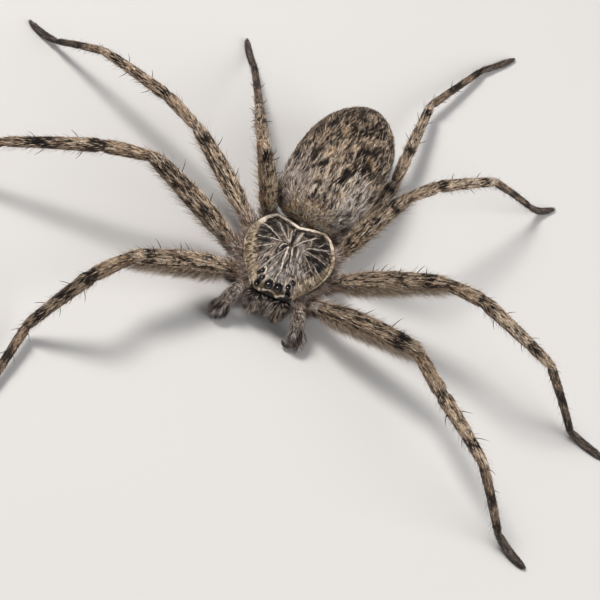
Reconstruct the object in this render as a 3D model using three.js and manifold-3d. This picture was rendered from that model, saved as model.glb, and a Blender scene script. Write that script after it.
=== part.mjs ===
// Huntsman spider, adult female, life size, standing with all eight feet on the floor.
// Millimetres, +Z up.  The head looks along -Y, the spider's left side is +X.
// The floor is z = 0 and the origin is the middle of the box the animal fills, on the floor.
import * as THREE from 'three';
import { mergeVertices } from 'three/addons/utils/BufferGeometryUtils.js';
import Module from 'manifold-3d';

// ------------------------------------------------------------------ driving dimensions
const ORIGIN = [-2.736, 7.279];         // point of the body's own frame that lies over the middle of the box
const GAP = 0.3;                        // slit between neighbouring solids
const SHIELD = {                        // carapace, the shield over the head and thorax
  halfWidth: 6.2, widestY: 1.5, rearLength: 6.3, frontY: -6.2, frontHalf: 2.8, headLean: 0.028,
  rearY: 5.9, rearRise: 0.65, rearSpread: 3.3, notchPower: 0.8,
  rimTop: 6.3, rimBottom: 5.85, domeSide: 3.1, domeRear: 2.85, domeFront: 2.75, centreY: 0.6,
  foveaY: 1.1, foveaDepth: 0.45,
};
const ABDOMEN = {                       // egg with a blunt front, turned a little to the left
  centre: [1.14, 11.82, 7.62], front: 4.98, rear: 16.39, halfWidth: 6.26, halfHeight: 4.8,
  yaw: 8.34, frontPower: 9, rearPower: 2.58, swell: 0.26,
  bellyTaper: 0.18, bellyFlat: 0.93,
};
const STERNUM = { bottom: 2.75, top: 5.5, halfWidth: 2.45, frontY: -3.3, rearY: 4.6 };
const CHELICERA = { middle: -0.15, halfWidth: { left: 1.48, right: 1.6 }, depth: 1.16, top: [-5.98, 5.45], bottom: [-6.3, 2.4] };
const EYES = {                          // x, y, radius; the height comes from the shield
  anterior_median: [0.66, -5.68, 0.51], anterior_lateral: [2.15, -5.9, 0.34],
  posterior_median: [1.84, -5.22, 0.33], posterior_lateral: [2.2, -4.45, 0.32],
};
const EYE_SINK = 0.1;                   // how far an eye's centre lies under the shield's surface

// Leg segments in order: femur, patella, tibia, metatarsus, tarsus.
const SEGMENT_LENGTHS = {
  1: [15.2, 6.7, 12.0, 11.7, 5.2],
  2: [16.2, 6.8, 13.8, 12.3, 5.5],
  3: [13.4, 6.3, 12.5, 11.3, 5.3],
  4: [13.4, 5.4, 12.1, 13.0, 6.0],
};
const LEG_THICKNESS = { 1: 1.0, 2: 0.96, 3: 0.84, 4: 0.86 };
// root: where the hip meets the breastplate; hip: where the femur starts;
// turn and rise: heading round +Z and slope of each of the five segments, in degrees.
const LEGS = {
  leg1_right: { pair: 1, root: [-2.5, -2.6, 4.1], hip: [-6.9, -4.2, 5.2],
    turn: [-143.9, -121.9, -140.2, -96.7, -96.7], rise: [22.2, 8.6, -51.0, -7.2, -7.0] },
  leg2_right: { pair: 2, root: [-2.95, -0.3, 4.1], hip: [-8.0, 0.2, 5.2],
    turn: [177.5, 191.9, 187.3, 193.1, 193.1], rise: [36.6, 0.0, -22.7, -40.7, -10.4] },
  leg3_right: { pair: 3, root: [-2.85, 2.0, 4.1], hip: [-7.2, 5.0, 5.2],
    turn: [151.4, 151.6, 153.6, 150.8, 152.1], rise: [27.9, 2.1, -13.3, -39.5, -11.5] },
  leg4_right: { pair: 4, root: [-1.9, 4.2, 4.1], hip: [-4.9, 7.4, 4.8],
    turn: [178.1, 105.6, 100.7, 106.9, 115.8], rise: [74.2, -30.2, -37.9, -25.1, -13.5] },
  leg1_left: { pair: 1, root: [2.5, -2.6, 4.1], hip: [6.7, -4.5, 5.2],
    turn: [-17.6, -38.7, -48.9, -25.3, -25.7], rise: [21.7, -10.7, 10.2, -56.3, -15.2] },
  leg2_left: { pair: 2, root: [2.95, -0.3, 4.1], hip: [7.8, 0.6, 5.2],
    turn: [-4.8, -28.5, 0.5, -11.0, -16.7], rise: [38.8, 29.0, -31.8, -57.0, -5.6] },
  leg3_left: { pair: 3, root: [2.85, 2.0, 4.1], hip: [6.6, 5.4, 5.2],
    turn: [31.3, 57.0, 50.6, 37.9, 43.9], rise: [64.3, -12.3, -23.8, -44.6, -26.3] },
  leg4_left: { pair: 4, root: [1.9, 4.2, 4.1], hip: [5.85, 7.5, 4.05],
    turn: [73.2, 88.4, 87.7, 66.4, 52.3], rise: [0.8, 4.0, -8.7, -8.2, -6.3] },
};
const TOE_HEIGHT = 0.4;                 // centre of a tarsus over the floor, as a share of the leg's thickness
// Half thickness along each segment: [share of the length, half width, half height].
const PROFILE = {
  coxa: [[0, 0.8, 1.0], [0.25, 0.92, 1.12], [0.6, 1.02, 1.12], [0.85, 0.95, 1.0], [1, 0.85, 0.9]],
  femur: [[0, 0.86, 0.9], [0.07, 1.1, 1.15], [0.22, 1.38, 1.42], [0.5, 1.42, 1.42],
    [0.78, 1.24, 1.22], [0.93, 1.12, 1.08], [1, 0.86, 0.86]],
  patella: [[0, 0.74, 0.74], [0.22, 0.9, 0.9], [0.55, 0.98, 1.0], [0.85, 1.02, 1.06], [1, 0.84, 0.86]],
  tibia: [[0, 0.84, 0.86], [0.08, 1.03, 1.04], [0.4, 0.93, 0.95], [0.75, 0.83, 0.84],
    [0.92, 0.8, 0.8], [1, 0.66, 0.66]],
  metatarsus: [[0, 0.62, 0.62], [0.08, 0.74, 0.74], [0.5, 0.68, 0.66], [0.9, 0.66, 0.62], [1, 0.55, 0.52]],
  tarsus: [[0, 0.55, 0.52], [0.12, 0.64, 0.58], [0.5, 0.67, 0.58], [0.8, 0.66, 0.57], [0.94, 0.52, 0.5]],
};
const BOW = { femur: 0.35, patella: 0.12, tibia: 0.18, metatarsus: 0.15, tarsus: 0 };
const PALP = {                          // left palp; the right one is its mirror image, spread a little more
  points: [[1.35, -4.1, 3.1], [2.85, -4.62, 3.7], [4.05, -5.7, 5.0], [4.45, -7.0, 4.85], [4.75, -7.45, 3.5], [5.45, -8.55, 0.95]],
  half: [0.56, 0.58, 0.66, 0.84, 0.9, 0.46],
};
const SIDES = 8;                        // corners of a leg's section

// ------------------------------------------------------------------ small helpers
const V = (x, y, z) => new THREE.Vector3(x, y, z);
const rad = THREE.MathUtils.degToRad;
const lerp = THREE.MathUtils.lerp;
const heading = (turn, rise) => V(
  Math.cos(rad(rise)) * Math.cos(rad(turn)), Math.cos(rad(rise)) * Math.sin(rad(turn)), Math.sin(rad(rise)));

function along(profile, s) {            // half width and half height at share s of a segment
  for (let i = 1; i < profile.length; i++) {
    if (s <= profile[i][0]) {
      const [s0, a0, b0] = profile[i - 1], [s1, a1, b1] = profile[i];
      const t = (s - s0) / (s1 - s0), k = t * t * (3 - 2 * t);
      return [lerp(a0, a1, k), lerp(b0, b1, k)];
    }
  }
  const last = profile[profile.length - 1];
  return [last[1], last[2]];
}

function frameOf(d) {                   // side and up vectors square to a heading
  const side = V(d.y, -d.x, 0).normalize();
  return [side, V(0, 0, 0).crossVectors(side, d).normalize()];
}

function ring(centre, d, a, b, normal, sides = SIDES) {
  // An oval section round `centre`, slid along `d` until it lies in the plane square to `normal`.
  const [side, up] = frameOf(d), pts = [];
  for (let k = 0; k < sides; k++) {
    const t = (2 * Math.PI * (k + 0.5)) / sides;
    const off = side.clone().multiplyScalar(a * Math.cos(t)).addScaledVector(up, b * Math.sin(t));
    if (normal) off.addScaledVector(d, -off.dot(normal) / d.dot(normal));
    pts.push(centre.clone().add(off));
  }
  return pts;
}

function solidOfRings(rings, tip0 = null, tip1 = null) {
  const n = rings[0].length, pos = [], idx = [];
  const mean = (r) => r.reduce((s, p) => s.add(p), V(0, 0, 0)).divideScalar(r.length);
  const put = (p) => pos.push(p.x, p.y, p.z);
  rings.forEach((r) => r.forEach(put));
  put(tip0 || mean(rings[0]));
  put(tip1 || mean(rings[rings.length - 1]));
  const A = rings.length * n, B = A + 1, last = (rings.length - 1) * n;
  for (let i = 0; i + 1 < rings.length; i++) {
    for (let k = 0; k < n; k++) {
      const k1 = (k + 1) % n, p = i * n + k, q = i * n + k1, r = p + n, s = q + n;
      idx.push(p, q, s, p, s, r);
    }
  }
  for (let k = 0; k < n; k++) {
    const k1 = (k + 1) % n;
    idx.push(A, k1, k, B, last + k, last + k1);
  }
  return closed(pos, idx);
}

function closed(pos, idx) {             // a geometry whose faces point outwards
  let vol = 0;
  const a = V(0, 0, 0), b = V(0, 0, 0), c = V(0, 0, 0);
  for (let i = 0; i < idx.length; i += 3) {
    a.fromArray(pos, idx[i] * 3); b.fromArray(pos, idx[i + 1] * 3); c.fromArray(pos, idx[i + 2] * 3);
    vol += a.dot(b.clone().cross(c));
  }
  if (vol < 0) for (let i = 0; i < idx.length; i += 3) [idx[i + 1], idx[i + 2]] = [idx[i + 2], idx[i + 1]];
  const g = new THREE.BufferGeometry();
  g.setAttribute('position', new THREE.Float32BufferAttribute(pos, 3));
  g.setIndex(idx);
  return g;
}

// ------------------------------------------------------------------ joining and cutting
const wasm = await Module();
wasm.setup();
function toManifold(geometry) {
  let g = geometry.clone();
  g.deleteAttribute('normal'); g.deleteAttribute('uv');
  g = mergeVertices(g, 1e-5);
  return new wasm.Manifold(new wasm.Mesh({
    numProp: 3, vertProperties: Float32Array.from(g.attributes.position.array), triVerts: Uint32Array.from(g.index.array) }));
}
function fromManifold(m) {
  const mesh = m.getMesh(), g = new THREE.BufferGeometry(), pos = [];
  for (let i = 0; i < mesh.vertProperties.length; i += mesh.numProp) {
    pos.push(mesh.vertProperties[i], mesh.vertProperties[i + 1], mesh.vertProperties[i + 2]);
  }
  g.setAttribute('position', new THREE.Float32BufferAttribute(pos, 3));
  g.setIndex(Array.from(mesh.triVerts));
  return g;
}
const ball = (x, y, z, r, w = 10, h = 7) => new THREE.SphereGeometry(r, w, h).rotateX(Math.PI / 2).translate(x, y, z);

// ------------------------------------------------------------------ shield (carapace)
function shieldHalf(y) {                // half width of the outline at y
  const S = SHIELD;
  if (y < S.widestY) {
    const t = Math.max(0, (y - S.frontY) / (S.widestY - S.frontY));
    return S.frontHalf + (S.halfWidth - S.frontHalf) * Math.pow(Math.sin((Math.PI / 2) * t), 1.1);
  }
  const t = (y - S.widestY) / S.rearLength;
  return S.halfWidth * Math.sqrt(Math.max(0, 1 - t * t));
}
function insideShield(x, y) {
  const S = SHIELD, ax = Math.abs(x);
  const front = S.frontY - 0.22 * (1 - Math.min(1, (ax / S.frontHalf) ** 2));
  const rear = S.rearY + S.rearRise * Math.pow(Math.min(1.4, ax / S.rearSpread), S.notchPower);
  return y > front && y < rear && ax < shieldHalf(y);
}
const lean = (y) => -SHIELD.headLean * Math.max(0, SHIELD.foveaY - y);   // the head is turned a little to the right
function shieldReach(angle) {           // distance from the middle to the outline in one direction
  let lo = 0, hi = 12;
  for (let i = 0; i < 40; i++) {
    const m = (lo + hi) / 2;
    if (insideShield(m * Math.cos(angle), SHIELD.centreY + m * Math.sin(angle))) lo = m; else hi = m;
  }
  return lo;
}
function shieldFlange(ang) {            // flat border outside the dome: broadest at the rear, none in front
  const frontness = THREE.MathUtils.smoothstep(-Math.sin(ang), 0.35, 0.95);
  return lerp(0.3 * (1 - frontness), 0.5, THREE.MathUtils.smoothstep(Math.sin(ang), -0.3, 0.5));
}
function shieldHeight(x, y) {
  const S = SHIELD, dx = x, dy = y - S.centreY, r = Math.hypot(dx, dy);
  const ang = Math.atan2(dy, dx);
  const frontness = THREE.MathUtils.smoothstep(-Math.sin(ang), 0.35, 0.95);
  const back = THREE.MathUtils.smoothstep(Math.sin(ang), -0.3, 0.5);
  const rho = Math.min(1, r / (shieldReach(ang) - shieldFlange(ang)));
  const dome = lerp(lerp(S.domeSide, S.domeFront, frontness), S.domeRear, back);
  const q = lerp(lerp(0.74, 0.6, frontness), 1.0, back), power = lerp(2.4, 1.9, back);
  let z = S.rimTop - 0.12 + 0.22 * back * THREE.MathUtils.smoothstep(r, 0, 3) + dome * Math.pow(1 - Math.pow(rho, power), q);
  // head region a little raised between two shallow neck grooves
  const t = THREE.MathUtils.clamp((S.foveaY - y) / (S.foveaY - S.frontY), 0, 1);
  const groove = Math.abs(x) - (0.25 + 3.2 * Math.pow(t, 0.85));
  if (t > 0) z -= 0.22 * Math.exp(-((groove / 0.42) ** 2)) * Math.sin(Math.PI * Math.min(1, t * 1.15));
  z -= S.foveaDepth * Math.exp(-((x / 0.45) ** 2) - (((y - S.foveaY) / 0.8) ** 2));
  return z;
}
function buildShield() {
  const AROUND = 44, steps = [0.13, 0.29, 0.45, 0.6, 0.74, 0.86, 0.94, 1, 1.01];   // shares of the way to the flange, then the rim
  const rings = [];
  for (const rho of steps) {
    const r = [];
    for (let k = 0; k < AROUND; k++) {
      const a = (2 * Math.PI * (k + 0.5)) / AROUND, out = shieldReach(a), inner = out - Math.max(0.14, shieldFlange(a));
      const R = rho > 1 ? out : inner * rho;
      const x = R * Math.cos(a), y = SHIELD.centreY + R * Math.sin(a);
      r.push(V(x + lean(y), y, shieldHeight(x, y)));
    }
    rings.push(r);
  }
  const rim = rings[rings.length - 1];
  rings.push(rim.map((p) => V(p.x * 0.985, SHIELD.centreY + (p.y - SHIELD.centreY) * 0.985, SHIELD.rimBottom)));
  const top = V(lean(SHIELD.centreY), SHIELD.centreY, shieldHeight(0, SHIELD.centreY));
  let m = toManifold(solidOfRings(rings, top, V(0, SHIELD.centreY, SHIELD.rimBottom)));
  for (const [x, y, r] of Object.values(EYES)) {
    for (const s of [-1, 1]) m = m.subtract(toManifold(ball(s * x + lean(y), y, shieldHeight(x, y) - EYE_SINK, r + 0.09, 12, 8)));
  }
  return fromManifold(m);
}

// ------------------------------------------------------------------ abdomen
function buildAbdomen() {
  const A = ABDOMEN, yaw = rad(A.yaw), AROUND = 26;
  const axis = V(Math.sin(yaw), Math.cos(yaw), 0), side = V(Math.cos(yaw), -Math.sin(yaw), 0);
  const centre = V(...A.centre), rings = [];
  const shares = [-0.985, -0.93, -0.82, -0.6, -0.3, 0, 0.12, 0.25, 0.38, 0.5, 0.62, 0.73, 0.82, 0.89, 0.945, 0.985];
  for (const u of shares) {
    const r = Math.sqrt(1 - Math.pow(Math.abs(u), u < 0 ? A.frontPower : A.rearPower)) * (1 + A.swell * u * (1 - u * u));
    const c = centre.clone().addScaledVector(axis, u * (u < 0 ? A.front : A.rear)), pts = [];
    for (let k = 0; k < AROUND; k++) {
      const t = (2 * Math.PI * (k + 0.5)) / AROUND;
      const down = Math.max(0, -Math.sin(t));       // the belly is a little narrower and flatter than the back
      pts.push(c.clone().addScaledVector(side, A.halfWidth * r * Math.cos(t) * (1 - A.bellyTaper * down))
        .add(V(0, 0, (down ? A.bellyFlat : 1) * A.halfHeight * r * Math.sin(t))));
    }
    rings.push(pts);
  }
  return solidOfRings(rings, centre.clone().addScaledVector(axis, -A.front), centre.clone().addScaledVector(axis, A.rear));
}

// ------------------------------------------------------------------ limbs
function station(A, B, kind, s, scale, extra = {}) {
  const d = B.clone().sub(A).normalize(), [, up] = frameOf(d);
  const [a, b] = along(PROFILE[kind], s);
  const c = A.clone().lerp(B, s).addScaledVector(up, (BOW[kind] || 0) * Math.sin(Math.PI * s) * scale);
  return { c, d, a: a * scale, b: b * scale, ...extra };
}
// One solid along one or more segments.  Each end is cut square to the line that halves the bend there.
function limbSolid(points, kinds, scale, before, after, finish = {}) {
  const rings = [], N = kinds.length;
  const dirs = kinds.map((_, i) => points[i + 1].clone().sub(points[i]).normalize());
  const normalAt = (i) => {
    const p = i === 0 ? before : dirs[i - 1], q = i === N ? after : dirs[i];
    return (p && q) ? p.clone().add(q).normalize() : (p || q).clone();
  };
  for (let i = 0; i < N; i++) {
    const A = points[i], B = points[i + 1], L = A.distanceTo(B), d = dirs[i], kind = kinds[i];
    const n0 = normalAt(i), n1 = normalAt(i + 1);
    const reach = (n) => Math.tan(Math.acos(Math.min(1, d.dot(n))));
    const [a0, b0] = along(PROFILE[kind], 0), [a1, b1] = along(PROFILE[kind], 1);
    const near = Math.max(a0, b0) * scale * reach(n0), far = Math.max(a1, b1) * scale * reach(n1);
    const open = finish.tip && i === N - 1;
    if (i === 0) {
      const c = A.clone().addScaledVector(d, (GAP / 2) / d.dot(n0));
      rings.push(ring(c, d, a0 * scale, b0 * scale, n0));
    }
    const knots = PROFILE[kind].map((p) => p[0]);
    const marks = kind === 'femur' ? [...knots, 0.36, 0.64] : kind === 'coxa' ? knots : [...knots];
    for (const s of marks.sort((p, q) => p - q)) {
      if (s <= 0 || (s >= 1 && !open)) continue;
      if (s * L < near + GAP / 2 + 0.22 || (!open && (1 - s) * L < far + GAP / 2 + 0.22)) continue;
      const st = station(A, B, kind, s, scale);
      if (finish.level && i === N - 1) {       // the toe comes down in a curve and ends level
        st.c.z = TOE_HEIGHT * scale + (A.z - TOE_HEIGHT * scale) * Math.pow(1 - s, 2.2);
      }
      rings.push(ring(st.c, d, st.a, st.b));
    }
    if (i < N - 1) rings.push(ring(B.clone(), d, a1 * scale, b1 * scale, n1));
    else if (!open) rings.push(ring(B.clone().addScaledVector(d, -(GAP / 2) / d.dot(n1)), d, a1 * scale, b1 * scale, n1));
  }
  let tip = null;
  if (finish.tip) {
    const d = dirs[N - 1].clone(); d.z = 0; d.normalize();
    tip = points[N].clone().setZ(TOE_HEIGHT * scale * 0.9).addScaledVector(d, 0.05);
  }
  if (finish.level) for (const r of rings) for (const p of r) p.z = Math.max(0, p.z);
  return solidOfRings(rings, null, tip);
}
function legNodes(name, leg) {
  const L = SEGMENT_LENGTHS[leg.pair], scale = LEG_THICKNESS[leg.pair];
  const dirs = leg.turn.map((t, i) => heading(t, leg.rise[i]));
  const J = [V(...leg.hip)];
  for (let i = 0; i < 5; i++) J.push(J[i].clone().addScaledVector(dirs[i], L[i]));
  const root = V(...leg.root), hip = J[0];
  const knee = root.clone().lerp(hip, 0.68); knee.z = lerp(root.z, hip.z, 0.2);
  const hipDir = hip.clone().sub(knee).normalize();
  const d = J.slice(1).map((p, i) => p.clone().sub(J[i]).normalize());
  return {
    [`${name}_coxa`]: limbSolidHip(root, knee, hip, d[0], scale),
    [`${name}_femur`]: limbSolid([J[0], J[1]], ['femur'], scale, hipDir, d[1]),
    [`${name}_tibia`]: limbSolid([J[1], J[2], J[3]], ['patella', 'tibia'], scale, d[0], d[3]),
    [`${name}_foot`]: limbSolid([J[3], J[4], J[5]], ['metatarsus', 'tarsus'], scale, d[2], null, { tip: true, level: true }),
  };
}
function limbSolidHip(root, knee, hip, next, scale) {
  // coxa and trochanter in one: level under the shield, then up to the femur
  const d0 = knee.clone().sub(root).normalize(), d1 = hip.clone().sub(knee).normalize();
  const mid = d0.clone().add(d1).normalize(), end = d1.clone().add(next).normalize(), rings = [];
  const P = PROFILE.coxa, len = root.distanceTo(knee);
  for (const s of [0, 0.3, 0.65]) {
    const [a, b] = along(P, s * 0.68);
    rings.push(ring(root.clone().addScaledVector(d0, s * len), d0, a * scale, b * scale));
  }
  const [am, bm] = along(P, 0.7);
  rings.push(ring(knee, d0, am * scale, bm * scale, mid));
  const [ae, be] = along(P, 1);
  rings.push(ring(hip.clone().addScaledVector(d1, -(GAP / 2) / d1.dot(end)), d1, ae * scale, be * scale, end));
  return solidOfRings(rings);
}
function tubeThrough(points, half, sides = 8, tip = null) {
  const rings = [];
  for (let i = 0; i < points.length; i++) {
    const p = points[i], q0 = points[Math.max(0, i - 1)], q1 = points[Math.min(points.length - 1, i + 1)];
    const d = q1.clone().sub(q0).normalize();
    rings.push(ring(p, d, half[i], half[i], null, sides));
  }
  return solidOfRings(rings, null, tip);
}

// ------------------------------------------------------------------ mouthparts
function buildChelicera(s) {
  const C = CHELICERA, rings = [], n = 7, half = s > 0 ? C.halfWidth.left : C.halfWidth.right;
  const x = C.middle + s * (half + GAP / 2);
  for (let i = 0; i <= n; i++) {
    const t = i / n, y = lerp(C.top[0], C.bottom[0], Math.pow(t, 0.8)), z = lerp(C.top[1], C.bottom[1], t);
    const w = half * (0.84 + 0.16 * Math.sin(Math.PI * Math.min(1, t * 1.2))) * (1 - 0.3 * t * t * t);
    const depth = C.depth * (0.85 + 0.25 * Math.sin(Math.PI * t)) * (1 - 0.25 * t * t * t);
    const r = [];
    for (let k = 0; k < 12; k++) {
      const a = (2 * Math.PI * (k + 0.5)) / 12;
      r.push(V(x + w * Math.cos(a), y + (Math.sin(a) > 0 ? 0.4 : 1) * depth * Math.sin(a), z + 0.35 * Math.sin(a) * t));
    }
    rings.push(r);
  }
  return solidOfRings(rings, null, V(x, C.bottom[0] - 0.05, C.bottom[1] - 0.42));
}
function buildFang(s) {
  const x = CHELICERA.middle + s * 1.6, z = 0.6;
  const curve = new THREE.QuadraticBezierCurve3(V(x, -6.25, 0.98 + z), V(x - s * 0.15, -6.0, 0.38 + z), V(x - s * 1.05, -5.2, 0.6 + z));
  const pts = curve.getPoints(5), half = [0.34, 0.32, 0.29, 0.26, 0.24, 0.2];
  return tubeThrough(pts, half, 6);
}
function buildPalp(s, part) {
  const spread = s < 0 ? 0.55 : 0, h = PALP.half;
  const P = PALP.points.map(([x, y, z], i) => V(s * (x + spread * Math.max(0, i - 1) / 4), y, z));
  const unit = (i) => P[i + 1].clone().sub(P[i]).normalize(), mid = (i, t) => P[i].clone().lerp(P[i + 1], t);
  const bisect = (i) => unit(i - 1).add(unit(i)).normalize();
  const joint = (i, d, shift) => ring(P[i].clone().addScaledVector(d, shift / d.dot(bisect(i))), d, h[i], h[i], bisect(i));
  const round = (p, i, r) => ring(p, unit(i), r, r);
  if (part === 'base') {
    return solidOfRings([round(P[0], 0, 0.5), round(mid(0, 0.5), 0, h[0]), joint(1, unit(0), 0),
      round(mid(1, 0.5), 1, 0.66), joint(2, unit(1), -GAP / 2)]);
  }
  return solidOfRings([joint(2, unit(2), GAP / 2), round(mid(2, 0.55), 2, 0.84), joint(3, unit(2), 0), joint(4, unit(3), 0),
    round(mid(4, 0.3), 4, 1.12), round(mid(4, 0.62), 4, 1.16), round(mid(4, 0.86), 4, 0.9), round(P[5], 4, h[5])]);
}

// ------------------------------------------------------------------ breastplate, stalk and spinnerets
function buildSternum() {
  const S = STERNUM, mid = (S.top + S.bottom) / 2, half = (S.top - S.bottom) / 2, rings = [];
  const plan = [[0, 1.15], [0.1, 1.8], [0.36, 2.45], [0.62, 2.25], [0.82, 1.3], [1, 0.62]];
  for (const [t, w] of plan) {
    const y = lerp(S.frontY, S.rearY, t), r = [];
    for (let k = 0; k < 12; k++) {
      const a = (2 * Math.PI * (k + 0.5)) / 12;
      r.push(V(w * Math.sign(Math.cos(a)) * Math.pow(Math.abs(Math.cos(a)), 0.8), y, mid + half * Math.sin(a)));
    }
    rings.push(r);
  }
  return solidOfRings(rings);
}
function buildPedicel() {
  return tubeThrough([V(0.02, 5.0, 4.5), V(0.06, 5.5, 4.65), V(0.12, 6.0, 4.8), V(0.2, 6.55, 5.0)], [0.5, 0.62, 0.66, 0.74], 10);
}
function buildSpinnerets() {
  const A = ABDOMEN, yaw = rad(A.yaw), axis = V(Math.sin(yaw), Math.cos(yaw), 0);
  const base = V(...A.centre).addScaledVector(axis, A.rear * 0.93); base.z -= 2.05;
  const aim = axis.clone().multiplyScalar(0.94).add(V(0, 0, -0.34)).normalize(), side = V(Math.cos(yaw), -Math.sin(yaw), 0);
  let m = null;
  for (const [dx, dz, len, r] of [[-0.55, 0.3, 1.9, 0.42], [0.55, 0.3, 1.9, 0.42], [-0.45, -0.45, 1.6, 0.45], [0.45, -0.45, 1.6, 0.45]]) {
    const p = base.clone().addScaledVector(side, dx).add(V(0, 0, dz)), q = p.clone().addScaledVector(aim, len);
    const g = toManifold(tubeThrough([p.clone().addScaledVector(aim, 0.35), p.clone().lerp(q, 0.6), q], [r, r * 0.95, r * 0.55], 8));
    m = m ? m.add(g) : g;
  }
  const grown = toManifold(tubeThrough([base.clone().addScaledVector(aim, 0.3), base.clone().addScaledVector(aim, 0.8)], [1.05, 0.95], 10));
  m = m.add(grown);
  const clear = buildAbdomen();
  const c = V(...A.centre), p = clear.attributes.position;
  for (let i = 0; i < p.count; i++) {          // the abdomen, 0.3 mm larger all round
    const v = V(p.getX(i), p.getY(i), p.getZ(i)).sub(c), k = 1 + 0.34 / v.length();
    v.multiplyScalar(k).add(c); p.setXYZ(i, v.x, v.y, v.z);
  }
  return fromManifold(m.subtract(toManifold(clear)));
}

// ------------------------------------------------------------------ the animal
const group = new THREE.Group();
const body = new THREE.Group();
body.position.set(-ORIGIN[0], -ORIGIN[1], 0);
group.add(body);
const finish = (colour, roughness, metalness = 0) => () => new THREE.MeshStandardMaterial({ color: colour, roughness, metalness });
const FUR = finish(0x9c8468, 0.85), SHELL = finish(0x6f6152, 0.7), GLASS = finish(0x0a0a0c, 0.08), HORN = finish(0x1e1512, 0.3);
const HIP = finish(0x8d7a66, 0.85), FOOT = finish(0x4b443e, 0.9), BELLY = finish(0xa08e76, 0.85);
function add(name, geometry, material) {
  geometry.deleteAttribute('uv');
  if (!geometry.attributes.normal) geometry.computeVertexNormals();
  const mesh = new THREE.Mesh(geometry, material());
  mesh.name = name;
  body.add(mesh);
}
add('carapace', buildShield(), SHELL);
for (const [eye, [x, y, r]] of Object.entries(EYES)) {
  for (const [side, s] of [['left', 1], ['right', -1]]) {
    const g = new THREE.SphereGeometry(r, 10, 7).rotateX(Math.PI / 2);
    g.deleteAttribute('normal'); g.deleteAttribute('uv');
    add(`eye_${eye}_${side}`, mergeVertices(g, 1e-5).translate(s * x + lean(y), y, shieldHeight(x, y) - EYE_SINK), GLASS);
  }
}
for (const [side, s] of [['left', 1], ['right', -1]]) {
  add(`chelicera_${side}`, buildChelicera(s), HIP);
  add(`fang_${side}`, buildFang(s), HORN);
  add(`palp_${side}_base`, buildPalp(s, 'base'), HIP);
  add(`palp_${side}_end`, buildPalp(s, 'end'), FUR);
}
add('sternum', buildSternum(), BELLY);
add('pedicel', buildPedicel(), BELLY);
add('abdomen', buildAbdomen(), FUR);
add('spinnerets', buildSpinnerets(), HIP);
for (const [name, leg] of Object.entries(LEGS)) {
  for (const [node, geometry] of Object.entries(legNodes(name, leg))) {
    add(node, geometry, node.endsWith('coxa') ? HIP : node.endsWith('foot') ? FOOT : FUR);
  }
}
export default group;
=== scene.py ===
# Huntsman spider, life size: skin, head shield, eyes, coat, spines and claws over the solid frame.
# All shape work is done in the body's own millimetres; metres() brings a point to the frame.
import math
import bpy
import numpy as np
from mathutils import Matrix, Vector


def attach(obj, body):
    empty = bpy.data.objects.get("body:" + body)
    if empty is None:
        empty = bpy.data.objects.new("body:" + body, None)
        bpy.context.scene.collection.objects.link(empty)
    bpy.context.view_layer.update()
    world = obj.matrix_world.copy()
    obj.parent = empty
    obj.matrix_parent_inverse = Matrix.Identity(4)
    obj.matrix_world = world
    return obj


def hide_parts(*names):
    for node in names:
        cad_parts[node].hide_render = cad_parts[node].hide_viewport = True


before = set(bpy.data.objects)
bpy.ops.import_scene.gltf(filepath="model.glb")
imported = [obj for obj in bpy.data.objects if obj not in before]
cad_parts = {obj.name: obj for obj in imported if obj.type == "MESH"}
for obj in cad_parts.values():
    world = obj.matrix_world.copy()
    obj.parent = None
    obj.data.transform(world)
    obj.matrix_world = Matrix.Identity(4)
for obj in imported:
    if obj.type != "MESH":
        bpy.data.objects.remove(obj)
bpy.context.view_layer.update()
scene = bpy.context.scene

ORIGIN = np.array([-2.736, 7.279, 0.0])


def metres(p):
    return (np.asarray(p, float) - ORIGIN) * 0.001


def V(*v):
    return np.array(v, float)


def unit(v):
    v = np.asarray(v, float)
    return v / np.maximum(np.linalg.norm(v, axis=-1, keepdims=True), 1e-12)


def lerp(a, b, t):
    return a + (b - a) * t


def smooth(x, a, b):
    t = np.clip((x - a) / (b - a), 0.0, 1.0)
    return t * t * (3 - 2 * t)


# ------------------------------------------------------------------ noise
def hashed(i, j, k, seed):
    h = (i * 374761393 + j * 668265263 + k * 1440662683 + seed * 974634777) & 0xFFFFFFFF
    h = ((h ^ (h >> 13)) * 1274126177) & 0xFFFFFFFF
    h = ((h ^ (h >> 15)) * 2246822519) & 0xFFFFFFFF
    return ((h ^ (h >> 16)) & 0xFFFFFF) / float(0xFFFFFF)


def noise(x, y, z, seed):
    """Smooth value noise, 0 to 1."""
    p = np.stack(np.broadcast_arrays(x, y, z), -1).astype(float)
    f = np.floor(p)
    i = f.astype(np.int64)
    t = p - f
    t = t * t * (3 - 2 * t)
    out = 0.0
    for dx in (0, 1):
        for dy in (0, 1):
            for dz in (0, 1):
                w = (t[..., 0] if dx else 1 - t[..., 0]) * (t[..., 1] if dy else 1 - t[..., 1]) * (
                    t[..., 2] if dz else 1 - t[..., 2])
                out = out + w * hashed(i[..., 0] + dx, i[..., 1] + dy, i[..., 2] + dz, seed)
    return out


def fbm(x, y, z, seed, octaves=3):
    total, amp, norm, f = 0.0, 1.0, 0.0, 1.0
    for o in range(octaves):
        total = total + amp * noise(x * f, y * f, z * f, seed + 17 * o)
        norm += amp
        amp *= 0.5
        f *= 2.03
    return total / norm


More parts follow.
